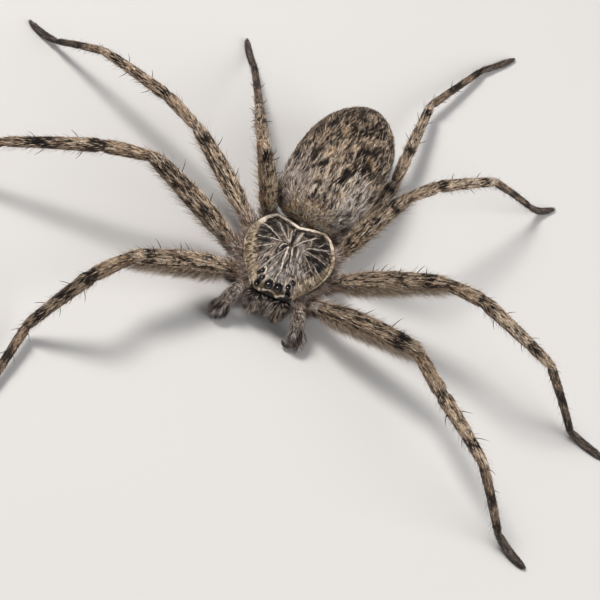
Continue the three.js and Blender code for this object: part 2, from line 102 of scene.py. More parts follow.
# ------------------------------------------------------------------ the body's measures
SHIELD = dict(widest=1.5, front=-6.2, half=6.2, front_half=2.8, rear_length=6.3, fovea=1.1,
              rear=5.9, rear_rise=0.65, rear_spread=3.3, rim_top=6.3, rim_bottom=5.85)
EYES = {"anterior_median": (0.66, -5.68, 0.51), "anterior_lateral": (2.15, -5.9, 0.34),
        "posterior_median": (1.84, -5.22, 0.33), "posterior_lateral": (2.2, -4.45, 0.32)}
YAW = math.radians(8.34)
AB_AXIS, AB_SIDE = V(math.sin(YAW), math.cos(YAW), 0), V(math.cos(YAW), -math.sin(YAW), 0)
AB_CENTRE, AB_FRONT, AB_REAR = V(1.14, 11.82, 7.62), 4.98, 16.39
LENGTHS = {1: [15.2, 6.7, 12.0, 11.7, 5.2], 2: [16.2, 6.8, 13.8, 12.3, 5.5],
           3: [13.4, 6.3, 12.5, 11.3, 5.3], 4: [13.4, 5.4, 12.1, 13.0, 6.0]}
THICK = {1: 1.0, 2: 0.96, 3: 0.84, 4: 0.86}
BOW = {"femur": 0.35, "patella": 0.12, "tibia": 0.18, "metatarsus": 0.15, "tarsus": 0.0}
LEGS = {
    "leg1_right": ([-2.5, -2.6, 4.1], [-6.9, -4.2, 5.2], [-143.9, -121.9, -140.2, -96.7, -96.7], [22.2, 8.6, -51.0, -7.2, -7.0]),
    "leg2_right": ([-2.95, -0.3, 4.1], [-8.0, 0.2, 5.2], [177.5, 191.9, 187.3, 193.1, 193.1], [36.6, 0, -22.7, -40.7, -10.4]),
    "leg3_right": ([-2.85, 2.0, 4.1], [-7.2, 5.0, 5.2], [151.4, 151.6, 153.6, 150.8, 152.1], [27.9, 2.1, -13.3, -39.5, -11.5]),
    "leg4_right": ([-1.9, 4.2, 4.1], [-4.9, 7.4, 4.8], [178.1, 105.6, 100.7, 106.9, 115.8], [74.2, -30.2, -37.9, -25.1, -13.5]),
    "leg1_left": ([2.5, -2.6, 4.1], [6.7, -4.5, 5.2], [-17.6, -38.7, -48.9, -25.3, -25.7], [21.7, -10.7, 10.2, -56.3, -15.2]),
    "leg2_left": ([2.95, -0.3, 4.1], [7.8, 0.6, 5.2], [-4.8, -28.5, 0.5, -11.0, -16.7], [38.8, 29.0, -31.8, -57.0, -5.6]),
    "leg3_left": ([2.85, 2.0, 4.1], [6.6, 5.4, 5.2], [31.3, 57.0, 50.6, 37.9, 43.9], [64.3, -12.3, -23.8, -44.6, -26.3]),
    "leg4_left": ([1.9, 4.2, 4.1], [5.85, 7.5, 4.05], [73.2, 88.4, 87.7, 66.4, 52.3], [0.8, 4.0, -8.7, -8.2, -6.3]),
}
PROFILE = {
    "coxa": [[0, .8, 1.0], [.25, .92, 1.12], [.6, 1.02, 1.12], [.85, .95, 1.0], [1, .85, .9]],
    "femur": [[0, .86, .9], [.07, 1.1, 1.15], [.22, 1.38, 1.42], [.5, 1.42, 1.42], [.78, 1.24, 1.22], [.93, 1.12, 1.08], [1, .86, .86]],
    "patella": [[0, .74, .74], [.22, .9, .9], [.55, .98, 1.0], [.85, 1.02, 1.06], [1, .84, .86]],
    "tibia": [[0, .84, .86], [.08, 1.03, 1.04], [.4, .93, .95], [.75, .83, .84], [.92, .8, .8], [1, .66, .66]],
    "metatarsus": [[0, .62, .62], [.08, .74, .74], [.5, .68, .66], [.9, .66, .62], [1, .55, .52]],
    "tarsus": [[0, .55, .52], [.12, .64, .58], [.5, .67, .58], [.8, .66, .57], [.94, .52, .5], [1, .5, .48]],
}
DEPTH = {"coxa": .14, "trochanter": .14, "femur": .12, "patella": .13, "tibia": .13, "metatarsus": .1, "tarsus": .08,
         "palp_femur": .12, "palp_tibia": .06, "palp_tarsus": .3}
TOE = 0.4


def profile(knots, s):
    k = np.asarray(knots, float)
    s = np.clip(s, k[0, 0], k[-1, 0])
    i = np.clip(np.searchsorted(k[:, 0], s, side="right") - 1, 0, len(k) - 2)
    t = np.clip((s - k[i, 0]) / (k[i + 1, 0] - k[i, 0]), 0, 1)
    t = t * t * (3 - 2 * t)
    return lerp(k[i, 1], k[i + 1, 1], t), lerp(k[i, 2], k[i + 1, 2], t)


def heading(turn, rise):
    t, r = math.radians(turn), math.radians(rise)
    return V(math.cos(r) * math.cos(t), math.cos(r) * math.sin(t), math.sin(r))


class Seg:
    """One straight or slightly bowed length of a limb."""

    def __init__(self, kind, owner, A, B, knots, scale=1.0, bow=0.0, level=False, start=0.0, depth=None):
        self.kind, self.owner, self.A, self.B, self.knots, self.scale = kind, owner, V(*A), V(*B), knots, scale
        self.bow, self.level, self.start = bow, level, start
        self.depth = DEPTH[kind] * (1 if owner.startswith(("palp", "chel")) else scale) if depth is None else depth
        self.L = float(np.linalg.norm(self.B - self.A))
        self.d = (self.B - self.A) / self.L
        side = V(self.d[1], -self.d[0], 0)
        self.side = side / max(np.linalg.norm(side), 1e-9)
        self.up = np.cross(self.side, self.d)

    def centre(self, s):
        s = np.asarray(s, float)
        c = self.A + np.multiply.outer(s, self.B - self.A) + np.multiply.outer(np.sin(np.pi * s) * self.bow * self.scale, self.up)
        if self.level:
            toe = TOE * self.scale
            c = c.copy()
            c[..., 2] = toe + (self.A[2] - toe) * np.power(np.clip(1 - s, 0, 1), 2.2)
        return c

    def radii(self, s):
        a, b = profile(self.knots, s)
        return a * self.scale, b * self.scale


SEGMENTS = []
for name, (root, hip, turns, rises) in LEGS.items():
    pair = int(name[3])
    scale = THICK[pair]
    root, hip = V(*root), V(*hip)
    knee = lerp(root, hip, 0.68)
    knee[2] = lerp(root[2], hip[2], 0.2)
    P = PROFILE["coxa"]
    k1 = [[s, *(float(v) for v in profile(P, 0.68 * s))] for s in (0, .3, .65)] + [[1, *(float(v) for v in profile(P, .7))]]
    k2 = [[0, *(float(v) for v in profile(P, .7))], [1, *(float(v) for v in profile(P, 1.0))]]
    SEGMENTS.append(Seg("coxa", name, root, knee, k1, scale, start=-6.0))
    SEGMENTS.append(Seg("trochanter", name, knee, hip, k2, scale, start=-2.0))
    p, run = hip, 0.0
    for i, kind in enumerate(["femur", "patella", "tibia", "metatarsus", "tarsus"]):
        q = p + heading(turns[i], rises[i]) * LENGTHS[pair][i]
        SEGMENTS.append(Seg(kind, name, p, q, PROFILE[kind], scale, BOW[kind], kind == "tarsus", run))
        run += LENGTHS[pair][i]
        p = q
PALP_POINTS = [[1.35, -4.1, 3.1], [2.85, -4.62, 3.7], [4.05, -5.7, 5.0], [4.45, -7.0, 4.85], [4.75, -7.45, 3.5], [5.45, -8.55, .95]]
for side_name, sgn in (("left", 1), ("right", -1)):
    pts = []
    for i, (x, y, z) in enumerate(PALP_POINTS):
        pts.append(V(sgn * (x + (0.55 if sgn < 0 else 0) * max(0, i - 1) / 4), y, z))
    h = [.56, .58, .66, .84, .9, .46]
    names = ["palp_femur", "palp_femur", "palp_tibia", "palp_tibia", "palp_tarsus"]
    mids = [.56, .66, .84, .88]
    run = 0.0
    for i in range(5):
        k = [[0, .9, .9], [.3, 1.12, 1.12], [.62, 1.16, 1.16], [.86, .9, .9], [1, .46, .46]]
        if i < 4:
            k = [[0, h[i], h[i]], [.5, mids[i], mids[i]], [1, h[i + 1], h[i + 1]]]
        SEGMENTS.append(Seg(names[i], "palp_" + side_name, pts[i], pts[i + 1], k, 1.0, start=run))
        run += SEGMENTS[-1].L
INDEX = {}
for n, g in enumerate(SEGMENTS):
    INDEX.setdefault((g.owner, g.kind), n)


# ------------------------------------------------------------------ the head shield's surface
def shield_half(y):
    y = np.asarray(y, float)
    t = np.clip((y - SHIELD["front"]) / (SHIELD["widest"] - SHIELD["front"]), 0, 1)
    a = SHIELD["front_half"] + (SHIELD["half"] - SHIELD["front_half"]) * np.sin(np.pi / 2 * t) ** 1.1
    b = SHIELD["half"] * np.sqrt(np.clip(1 - ((y - SHIELD["widest"]) / SHIELD["rear_length"]) ** 2, 0, 1))
    return np.where(y < SHIELD["widest"], a, b)


def in_shield(x, y):
    ax = np.abs(x)
    front = SHIELD["front"] - 0.22 * (1 - np.minimum(1, (ax / SHIELD["front_half"]) ** 2))
    rear = SHIELD["rear"] + SHIELD["rear_rise"] * np.minimum(1.4, ax / SHIELD["rear_spread"]) ** 0.8
    return (y > front) & (y < rear) & (ax < shield_half(y))


def shield_reach(ang):
    ang = np.asarray(ang, float)
    lo, hi = np.zeros_like(ang), np.full_like(ang, 9.0)
    c, s = np.cos(ang), np.sin(ang)
    for _ in range(34):
        m = (lo + hi) / 2
        ok = in_shield(m * c, 0.6 + m * s)
        lo, hi = np.where(ok, m, lo), np.where(ok, hi, m)
    return lo


REACH_ANGLES = np.linspace(-np.pi, np.pi, 1441)
REACH_TABLE = shield_reach(REACH_ANGLES)


def reach(ang):
    return np.interp(ang, REACH_ANGLES, REACH_TABLE)


def shield_height(x, y):
    x, y = np.asarray(x, float), np.asarray(y, float)
    r, ang = np.hypot(x, y - 0.6), np.arctan2(y - 0.6, x)
    fr = smooth(-np.sin(ang), .35, .95)
    back = smooth(np.sin(ang), -.3, .5)
    flange = lerp(.3 * (1 - fr), .5, back)
    out = reach(ang)
    rho = np.minimum(1, r / (out - flange))
    dome, q, power = lerp(lerp(3.1, 2.75, fr), 2.85, back), lerp(lerp(.74, .6, fr), 1.0, back), lerp(2.4, 1.9, back)
    z = SHIELD["rim_top"] - .12 + .22 * back * smooth(r, 0, 3) + dome * np.power(np.clip(1 - rho ** power, 0, 1), q)
    t = np.clip((1.1 - y) / 7.3, 0, 1)
    groove = np.abs(x) - (.25 + 3.2 * t ** .85)
    z = z - np.where(t > 0, .22 * np.exp(-(groove / .42) ** 2) * np.sin(np.pi * np.minimum(1, 1.15 * t)), 0)
    return z - .45 * np.exp(-(x / .45) ** 2 - ((y - 1.1) / .8) ** 2)


def lean(y):
    return -.028 * np.maximum(0, 1.1 - y)


EYE_CENTRES = {}
for eye, (ex, ey, er) in EYES.items():
    for side_name, sgn in (("left", 1), ("right", -1)):
        EYE_CENTRES[f"eye_{eye}_{side_name}"] = (V(sgn * ex + lean(ey), ey, float(shield_height(sgn * ex, ey)) - (.36 if "anterior_lateral" in eye else .12)), er)


# ------------------------------------------------------------------ mesh helpers
def new_object(name, verts, faces, smooth_shade=True):
    me = bpy.data.meshes.new(name)
    verts = np.ascontiguousarray(verts, np.float32)
    faces = np.asarray(faces, np.int32)
    me.vertices.add(len(verts))
    me.vertices.foreach_set("co", verts.ravel())
    k = faces.shape[1]
    me.loops.add(faces.size)
    me.loops.foreach_set("vertex_index", faces.ravel())
    me.polygons.add(len(faces))
    me.polygons.foreach_set("loop_start", np.arange(0, faces.size, k, dtype=np.int32))
    me.update(calc_edges=True)
    if smooth_shade:
        me.polygons.foreach_set("use_smooth", np.ones(len(faces), bool))
    me.validate()
    ob = bpy.data.objects.new(name, me)
    scene.collection.objects.link(ob)
    return ob


def paint(ob, colours, name="Markings"):
    a = ob.data.color_attributes.new(name, "FLOAT_COLOR", "POINT")
    rgba = np.ones((len(colours), 4), np.float32)
    rgba[:, :3] = colours if "shield" in ob.name else colours * V(1.0, .94, .91)
    a.data.foreach_set("color", rgba.ravel())


def to_linear(c):
    c = np.clip(np.asarray(c, float), 0, 1)
    return np.where(c <= .04045, c / 12.92, ((c + .055) / 1.055) ** 2.4)


def rgb(r, g, b):
    return V(r, g, b) / 255.0


class Soup:
    """Collects closed lofts."""

    def __init__(self):
        self.v, self.f, self.n = [], [], 0

    def add(self, v, f):
        self.v.append(np.asarray(v, float))
        self.f.append(np.asarray(f, int) + self.n)
        self.n += len(v)

    def rings(self, rings, tip0, tip1):
        rings = np.asarray(rings)
        m, k = rings.shape[:2]
        v = np.concatenate([rings.reshape(-1, 3), [tip0, tip1]])
        i, j = np.meshgrid(np.arange(m - 1), np.arange(k), indexing="ij")
        p, q = (i * k + j).ravel(), (i * k + (j + 1) % k).ravel()
        quads = np.stack([p, q, q + k, p, q + k, p + k], -1).reshape(-1, 3)
        j = np.arange(k)
        j1 = (j + 1) % k
        cap0 = np.stack([np.full(k, m * k), j1, j], -1)
        cap1 = np.stack([np.full(k, m * k + 1), (m - 1) * k + j, (m - 1) * k + j1], -1)
        f = np.concatenate([quads, cap0, cap1])
        a, b, c = v[f[:, 0]], v[f[:, 1]], v[f[:, 2]]
        if np.einsum("ij,ij->i", a, np.cross(b, c)).sum() < 0:
            f = f[:, ::-1]
        self.add(v, f)

    def done(self):
        return np.concatenate(self.v), np.concatenate(self.f)


ROUND = np.linspace(0, 2 * np.pi, 24, endpoint=False)


def oval(c, side, up, a, b):
    return c + np.outer(np.cos(ROUND) * a, side) + np.outer(np.sin(ROUND) * b, up)


def capped(soup, g, n=14, bulge=.75):
    """A loft of one limb segment with rounded ends, in by the coat's depth."""
    rings = []
    S = np.linspace(0, 1, n)
    a, b = g.radii(S)
    a, b = np.maximum(a - g.depth, .3 * a), np.maximum(b - g.depth, .3 * b)
    C = g.centre(S)
    for k in (75, 50, 25):
        t = math.radians(k)
        rings.append(oval(C[0] - g.d * a[0] * bulge * math.sin(t), g.side, g.up, a[0] * math.cos(t), b[0] * math.cos(t)))
    for i in range(n):
        rings.append(oval(C[i], g.side, g.up, a[i], b[i]))
    for k in (25, 50, 75):
        t = math.radians(k)
        rings.append(oval(C[-1] + g.d * a[-1] * bulge * math.sin(t), g.side, g.up, a[-1] * math.cos(t), b[-1] * math.cos(t)))
    soup.rings(rings, C[0] - g.d * a[0] * bulge, C[-1] + g.d * a[-1] * bulge)


# ------------------------------------------------------------------ skin
AB_DEPTH = .14
JAW_HALF = {1: 1.48, -1: 1.6}


def abdomen_point(u, t, inset=0.0):
    u, t = np.broadcast_arrays(np.asarray(u, float), np.asarray(t, float))
    r = np.sqrt(np.clip(1 - np.abs(u) ** np.where(u < 0, 9.0, 2.58), 0, 1)) * (1 + .26 * u * (1 - u * u))
    down = np.maximum(0, -np.sin(t))
    w = np.maximum((6.26 * (1 - .18 * down)) - inset, .1) * r
    h = np.maximum(4.8 * np.where(down > 0, .93, 1) - inset, .1) * r
    along = u * (np.where(u < 0, AB_FRONT, AB_REAR) - inset)
    return AB_CENTRE + along[..., None] * AB_AXIS + (w * np.cos(t))[..., None] * AB_SIDE + (h * np.sin(t))[..., None] * V(0, 0, 1)


soup = Soup()
for g in SEGMENTS:
    capped(soup, g, n=20 if g.kind == "femur" else 14)
us = np.sin(np.linspace(-np.pi / 2, np.pi / 2, 46))[1:-1]
soup.rings([abdomen_point(np.full(72, u), np.linspace(0, 2 * np.pi, 72, endpoint=False), AB_DEPTH) for u in us],
           AB_CENTRE - AB_AXIS * (AB_FRONT - AB_DEPTH), AB_CENTRE + AB_AXIS * (AB_REAR - AB_DEPTH))
for sgn in (-1, 1):      # jaws
    rings = []
    half, x0 = JAW_HALF[sgn], -.15 + sgn * (JAW_HALF[sgn] + .15)
    for t in np.linspace(0, 1, 14):
        y, z = lerp(-5.98, -6.3, t ** .8), lerp(5.5, 2.4, t)
        w = half * (.84 + .16 * math.sin(math.pi * min(1, t * 1.2))) * (1 - .3 * t ** 3) - .08
        dep = 1.16 * (.85 + .25 * math.sin(math.pi * t)) * (1 - .25 * t ** 3) - .2
        sy = np.sin(ROUND)
        rings.append(np.stack([x0 + w * np.cos(ROUND), y + dep * sy * np.where(sy > 0, .4, 1), z + .35 * t * sy], -1))
    soup.rings(rings, V(x0, -5.9, 5.75), V(x0, -6.35, 2.0))
rings = []               # the jaws meet in the middle
for t in np.linspace(0, 1, 9):
    y, z = lerp(-6.15, -6.5, t), lerp(5.4, 2.75, t)
    rings.append(np.stack([-.15 + .42 * np.cos(ROUND), y + (.75 - .35 * t) * np.sin(ROUND), z + 0 * ROUND], -1))
soup.rings(rings, V(-.15, -6.1, 5.6), V(-.15, -6.45, 2.45))
rings = []               # the trunk's soft wall between the shield and the hips
for y in np.linspace(-5.3, 5.4, 22):
    w = .76 * float(shield_half(y)) * (1 - .35 * smooth(y, 3.5, 5.6))
    f = math.sqrt(max(0.02, 1 - abs((y - .05) / 5.4) ** 3))
    rings.append(V(0, y, 4.78) + np.outer(np.sign(np.cos(ROUND)) * np.abs(np.cos(ROUND)) ** .8 * w * f, V(1, 0, 0))
                 + np.outer(np.sign(np.sin(ROUND)) * np.abs(np.sin(ROUND)) ** .7 * 1.16 * f ** .5, V(0, 0, 1)))
soup.rings(rings, V(0, -5.4, 4.78), V(0, 5.5, 4.78))
rings = []               # the front of the trunk, behind the jaws
for y, w, h in ((-4.6, 2.2, .9), (-5.2, 2.3, .95), (-5.7, 2.35, .9), (-6.1, 2.3, .75), (-6.3, 2.0, .5)):
    rings.append(V(-.15, y, 4.75) + np.outer(np.cos(ROUND) * w, V(1, 0, 0)) + np.outer(np.sin(ROUND) * h, V(0, 0, 1)))
soup.rings(rings, V(-.15, -4.3, 4.75), V(-.15, -6.4, 4.75))
rings = []               # breastplate
for t, w in ((0, .9), (.05, 1.4), (.12, 1.75), (.25, 2.05), (.4, 2.28), (.52, 2.25), (.66, 1.95), (.8, 1.25), (.92, .75), (1, .42)):
    y = lerp(-3.2, 4.5, t)
    bot = 2.95 + .12 * abs(2 * t - 1) ** 3
    top = 4.9
    c, s = np.cos(ROUND), np.sin(ROUND)
    rings.append(np.stack([np.sign(c) * np.abs(c) ** .55 * w, np.full(24, y), (top + bot) / 2 + np.sign(s) * np.abs(s) ** .7 * (top - bot) / 2], -1))
soup.rings(rings, V(0, -3.35, 3.9), V(0, 4.65, 3.9))
ped = [(V(.02, 4.9, 4.55), .5), (V(.06, 5.5, 4.65), .56), (V(.12, 6.0, 4.8), .6), (V(.2, 6.6, 5.0), .7), (V(.3, 7.3, 5.2), .8)]
soup.rings([oval(c, V(1, 0, 0), V(0, -.3, .95), r, r) for c, r in ped], ped[0][0] - V(0, .4, 0), ped[-1][0] + V(0, .5, 0))
SPIN_BASE = AB_CENTRE + AB_AXIS * AB_REAR * .93 - V(0, 0, 2.05)
SPIN_AIM = unit(AB_AXIS * .94 - V(0, 0, .34))
SPIN_UP = np.cross(AB_SIDE, SPIN_AIM)
SPIN_CONES = []
for sx, dz, ln, r in ((.55, .3, 1.9, .42), (-.55, .3, 1.9, .42), (.45, -.45, 1.6, .45), (-.45, -.45, 1.6, .45)):
    c0 = SPIN_BASE + AB_SIDE * sx + V(0, 0, dz) - SPIN_AIM * .8
    SPIN_CONES.append((c0, ln, r))
    rings = []
    for t in np.linspace(0, 1, 8):
        rr = (r - .1) * (1 - .12 * math.sin(4 * math.pi * t)) * math.sqrt(max(.05, 1 - (.35 * t + .6 * t ** 6)))
        rings.append(oval(c0 + SPIN_AIM * t * (ln + .6), AB_SIDE, SPIN_UP, rr, rr))
    soup.rings(rings, c0 - SPIN_AIM * .1, c0 + SPIN_AIM * (ln + .68))
sv, sf = soup.done()
rough = new_object("skin_blank", metres(sv), sf)
rough.data.remesh_voxel_size = .00022
rough.data.remesh_voxel_adaptivity = 0.0
mod = rough.modifiers.new("weld", "REMESH")
mod.mode = "VOXEL"
mod.voxel_size = .00022
mod.adaptivity = 0.0
dg = bpy.context.evaluated_depsgraph_get()
got = rough.evaluated_get(dg)
me = got.to_mesh()
me.calc_loop_triangles()
sv = np.empty(len(me.vertices) * 3, np.float32)
me.vertices.foreach_get("co", sv)
tri = np.empty(len(me.loop_triangles) * 3, np.int32)
me.loop_triangles.foreach_get("vertices", tri)
got.to_mesh_clear()
bpy.data.objects.remove(rough)
sv = sv.reshape(-1, 3).astype(float) * 1000 + ORIGIN
sf = tri.reshape(-1, 3)


def relax(v, f, rounds, keep=.5):
    e = np.concatenate([f[:, [0, 1]], f[:, [1, 2]], f[:, [2, 0]]])
    e = np.concatenate([e, e[:, ::-1]])
    n = np.bincount(e[:, 0], minlength=len(v))[:, None]
    for _ in range(rounds):
        s = np.stack([np.bincount(e[:, 0], v[e[:, 1], k], len(v)) for k in range(3)], -1)
        v = v * keep + (s / np.maximum(n, 1)) * (1 - keep)
    return v


def islands(v, f):
    """Keeps the one big surface; inner slivers of the weld are dropped."""
    lab = np.arange(len(v))
    while True:
        m = np.minimum(np.minimum(lab[f[:, 0]], lab[f[:, 1]]), lab[f[:, 2]])
        new = lab.copy()
        for k in range(3):
            np.minimum.at(new, f[:, k], m)
        new = new[new]
        if (new == lab).all():
            break
        lab = new
    big = np.bincount(lab).argmax()
    keep = lab == big
    idx = np.cumsum(keep) - 1
    return v[keep], idx[f[keep[f[:, 0]]]], int((~keep).sum())


sv, sf, dropped = islands(sv, sf)
sv = relax(sv, sf, 3)
sv[:, 2] = np.maximum(sv[:, 2], .03)


def normals_of(v, f):
    n = np.cross(v[f[:, 1]] - v[f[:, 0]], v[f[:, 2]] - v[f[:, 0]])
    out = np.stack([np.bincount(f.ravel(), np.repeat(n[:, k], 3), len(v)) for k in range(3)], -1)
    return unit(out)


sn = normals_of(sv, sf)

# ------------------------------------------------------------------ which part of the body a point is on
ABDOMEN_ID, TRUNK_ID, PEDICEL_ID, SPIN_ID, JAW_L, JAW_R = 100, 101, 102, 103, 104, 105


def classify(P):
    n = len(P)
    best = np.full(n, 1e9)
    out = dict(id=np.full(n, -1), s=np.zeros(n), U=np.zeros(n), y=np.zeros(n), z=np.zeros(n), phi=np.zeros(n), flow=np.zeros((n, 3)))

    def put(mask, dist, ident, s, U, y, z, phi, flow):
        win = dist < best[mask]
        idx = np.flatnonzero(mask)[win]
        best[idx] = dist[win]
        out["id"][idx] = ident
        for key, val in (("s", s), ("U", U), ("y", y), ("z", z), ("phi", phi)):
            out[key][idx] = np.broadcast_to(val, dist.shape)[win]
        out["flow"][idx] = np.broadcast_to(flow, (len(dist), 3))[win]

    for num, g in enumerate(SEGMENTS):
        lo, hi = np.minimum(g.A, g.B) - 2.6, np.maximum(g.A, g.B) + 2.6
        mask = ((P > lo) & (P < hi)).all(1)
        if not mask.any():
            continue
        Q = P[mask]
        t = (Q - g.A) @ g.d / g.L
        s = np.clip(t, 0, 1)
        a, b = g.radii(s)
        off = Q - g.centre(s)
        y, z = off @ g.side, off @ g.up
        m = (a + b) / 2
        over = (t - s) * g.L
        dist = np.sqrt(((y / a) ** 2 + (z / b) ** 2) * m * m + over ** 2) - m
        put(mask, dist, num, s, g.start + s * g.L, y, z, np.arctan2(z / b, y / a), g.d)
    rel = P - AB_CENTRE
    x, y, z = rel @ AB_AXIS, rel @ AB_SIDE, rel[:, 2]
    u = x / np.where(x < 0, AB_FRONT, AB_REAR)
    gg = np.sqrt(np.abs(u) ** np.where(u < 0, 9.0, 2.58) + (y / 6.1) ** 2 + (z / 4.6) ** 2)
    every = np.ones(n, bool)
    away = unit(np.stack([(x + AB_FRONT) * .8, y * .55, z + 3.4], -1)) * (1 - smooth(x, -5, 4))[:, None]
    away = away[:, :1] * AB_AXIS + away[:, 1:2] * AB_SIDE + away[:, 2:] * V(0, 0, 1) + AB_AXIS * (.15 + .85 * smooth(x, -4.5, 3))[:, None]
    put(every, (gg - 1) * 4.5, ABDOMEN_ID, (x + AB_FRONT) / (AB_FRONT + AB_REAR), x, y, z, np.arctan2(z / 4.8, y / 6.26), unit(away))
    g1 = np.sqrt((P[:, 0] / 4.5) ** 4 + ((P[:, 1]) / 5.3) ** 4 + ((P[:, 2] - 4.5) / 1.5) ** 2)
    put(every, np.maximum((g1 - 1) * 1.4, -.25) + .12, TRUNK_ID, (P[:, 1] + 6) / 12, P[:, 1], P[:, 0], P[:, 2], np.arctan2(P[:, 2] - 4.5, P[:, 0]), V(0, 1, 0))
    t = np.clip((P[:, 1] - 4.9) / 2.0, 0, 1)
    dp = np.linalg.norm(P - (V(0, 4.9, 4.55) + np.outer(t, V(.2, 2.0, .5))), axis=1) - .62
    put(every, dp + .1, PEDICEL_ID, t, t * 2, P[:, 0], P[:, 2] - 4.8, np.arctan2(P[:, 2] - 4.8, P[:, 0]), V(0, .97, .2))
    for c0, ln, r in SPIN_CONES:
        w = P - c0
        t = np.clip(w @ SPIN_AIM / (ln + .6), 0, 1)
        off = w - np.outer(t * (ln + .6), SPIN_AIM)
        put(every, np.linalg.norm(off, axis=1) - r * .9, SPIN_ID, t, t * ln, off @ AB_SIDE, off @ SPIN_UP, np.arctan2(off @ SPIN_UP, off @ AB_SIDE), SPIN_AIM)
    for sgn, ident in ((1, JAW_L), (-1, JAW_R)):
        half = JAW_HALF[sgn]
        t = np.clip((5.45 - P[:, 2]) / 3.05, 0, 1)
        cy = lerp(-5.98, -6.3, t ** .8)
        y, x = P[:, 1] - cy, P[:, 0] + .15 - sgn * (half + .15)
        over = np.maximum(0, np.maximum(P[:, 2] - 5.6, 2.1 - P[:, 2]))
        dist = np.sqrt((x / (half * .9)) ** 2 + (y / np.where(y < 0, 1.1, .5)) ** 2 + (over / 1.15) ** 2) - 1
        out_ = np.stack([.32 * x, np.minimum(y, 0) * .15 - .2, np.full(n, -.9)], -1)
        put(every, dist * 1.15, ident, t, t * 4, x, y, np.arctan2(-y, x), unit(out_))
    return out


# ------------------------------------------------------------------ colours, in screen values until the last step
CREAM, STRAW, TAN, SAND = rgb(234, 213, 186), rgb(196, 168, 134), rgb(164, 138, 112), rgb(186, 161, 133)
BROWN, UMBER, GREY, MID = rgb(112, 86, 64), rgb(76, 58, 44), rgb(130, 119, 112), rgb(100, 85, 74)
CHAR, BLACK, ROSE, RUST = rgb(50, 43, 39), rgb(20, 17, 16), rgb(196, 160, 138), rgb(148, 88, 52)
SLATE = rgb(66, 66, 72)


def mix(a, b, t):
    t = np.clip(np.asarray(t, float), 0, 1)
    return a * (1 - t[..., None]) + b * t[..., None]


def bump1(x, c, w, soft=.5):
    """1 inside c +- w, with soft edges."""
    return 1 - smooth(np.abs(x - c), w * (1 - soft), w * (1 + soft))


def streaks(U, y, z, seed, fine=.16, run=1.3):
    """Long thin light and dark strands along the limb, 0 to 1."""
    a = noise(U / run, y / fine, z / fine, seed)
    b = noise(U / (run * .55) + 5, y / (fine * .6), z / (fine * .6), seed + 3)
    c = noise(U / (run * 2.2) + 9, y / (fine * 2.6), z / (fine * 2.6), seed + 5)
    return np.clip((.5 * a + .28 * b + .22 * c - .5) * 1.9 + .5, 0, 1)


def around(phi):
    return np.mod(phi + np.pi / 2, 2 * np.pi)


def cells(u, v, du, dv, lu, lv, seed, share, rough=.3):
    """Small lens marks scattered on a jittered grid: 1 in the middle of a mark, 0 outside."""
    u, v = np.asarray(u, float), np.asarray(v, float)
    wu = u + (noise(u / (lu * .8), v / (lv * 1.5), 0 * u, seed + 5) - .5) * lu * rough * 2
    wv = v + (noise(u / (lu * .5) + 7, v / lv, 0 * u, seed + 6) - .5) * lv * rough * 2
    iu, iv = np.floor(wu / du).astype(np.int64), np.floor(wv / dv).astype(np.int64)
    best = np.zeros(u.shape)
    for a in (-1, 0, 1):
        for b in (-1, 0, 1):
            ju, jv = iu + a, iv + b
            h = [hashed(ju, jv, ju * 0 + k, seed) for k in range(4)]
            cu, cv = (ju + .15 + .7 * h[0]) * du, (jv + .2 + .6 * h[1]) * dv
            d = ((wu - cu) / (lu * (.6 + .8 * h[3]))) ** 2 + ((wv - cv) / (lv * (.75 + .5 * h[0]))) ** 2
            best = np.maximum(best, (h[2] < share) * (1 - smooth(d, .45, 1.25)))
    return best


def strokes(Q, marks, seed, soft=.5, wobble=.08, grain=.3):
    """How far each point lies inside a list of short drawn marks: (points, half width, strength)."""
    Q = np.asarray(Q, float)
    k3 = [Q[:, k] if k < Q.shape[1] else 0 * Q[:, 0] for k in range(3)]
    W = Q + 2 * wobble * (np.stack([noise(k3[0] / grain + 31 * k, k3[1] / grain, k3[2] / grain, seed + k) for k in range(Q.shape[1])], -1) - .5)
    best = np.zeros(len(Q))
    for pts, hw, f in marks:
        pts = np.asarray(pts, float)
        sel = np.flatnonzero(((W > pts.min(0) - 2 * hw) & (W < pts.max(0) + 2 * hw)).all(1))
        if not len(sel):
            continue
        q, d = W[sel], np.full(len(sel), 9.0)
        for a, b in zip(pts[:-1], pts[1:]):
            t = np.clip((q - a) @ (b - a) / max(float((b - a) @ (b - a)), 1e-9), 0, 1)
            d = np.minimum(d, np.linalg.norm(q - a - t[:, None] * (b - a), axis=1))
        best[sel] = np.maximum(best[sel], f * (1 - smooth(d, hw * (1 - soft), hw * (1 + soft))))
    return best


LEG_RINGS = {   # dark rings of the shin: share along it, half width, strength
    "leg1_left": [(.035, .075, 1.0), (.47, .03, .5), (.78, .06, .9)], "leg2_left": [(.03, .085, 1.0), (.5, .03, .5), (.74, .07, .95)],
    "leg3_left": [(.05, .06, .9), (.42, .035, .6), (.76, .06, .9)], "leg4_left": [(.06, .05, .8), (.45, .03, .5), (.8, .065, 1.0)],
    "leg1_right": [(.05, .08, .95), (.4, .05, .6), (.8, .09, .8)], "leg2_right": [(.06, .075, 1.0), (.62, .12, .95), (.9, .05, .6)],
    "leg3_right": [(.05, .07, .95), (.45, .05, .6), (.78, .08, .95)], "leg4_right": [(.18, .07, .95), (.5, .04, .6), (.78, .08, .9)],
}
DASHES = {"leg1_left": .45, "leg2_left": .45, "leg3_left": .6, "leg4_left": .5,
          "leg1_right": .5, "leg2_right": .75, "leg3_right": .75, "leg4_right": .6}


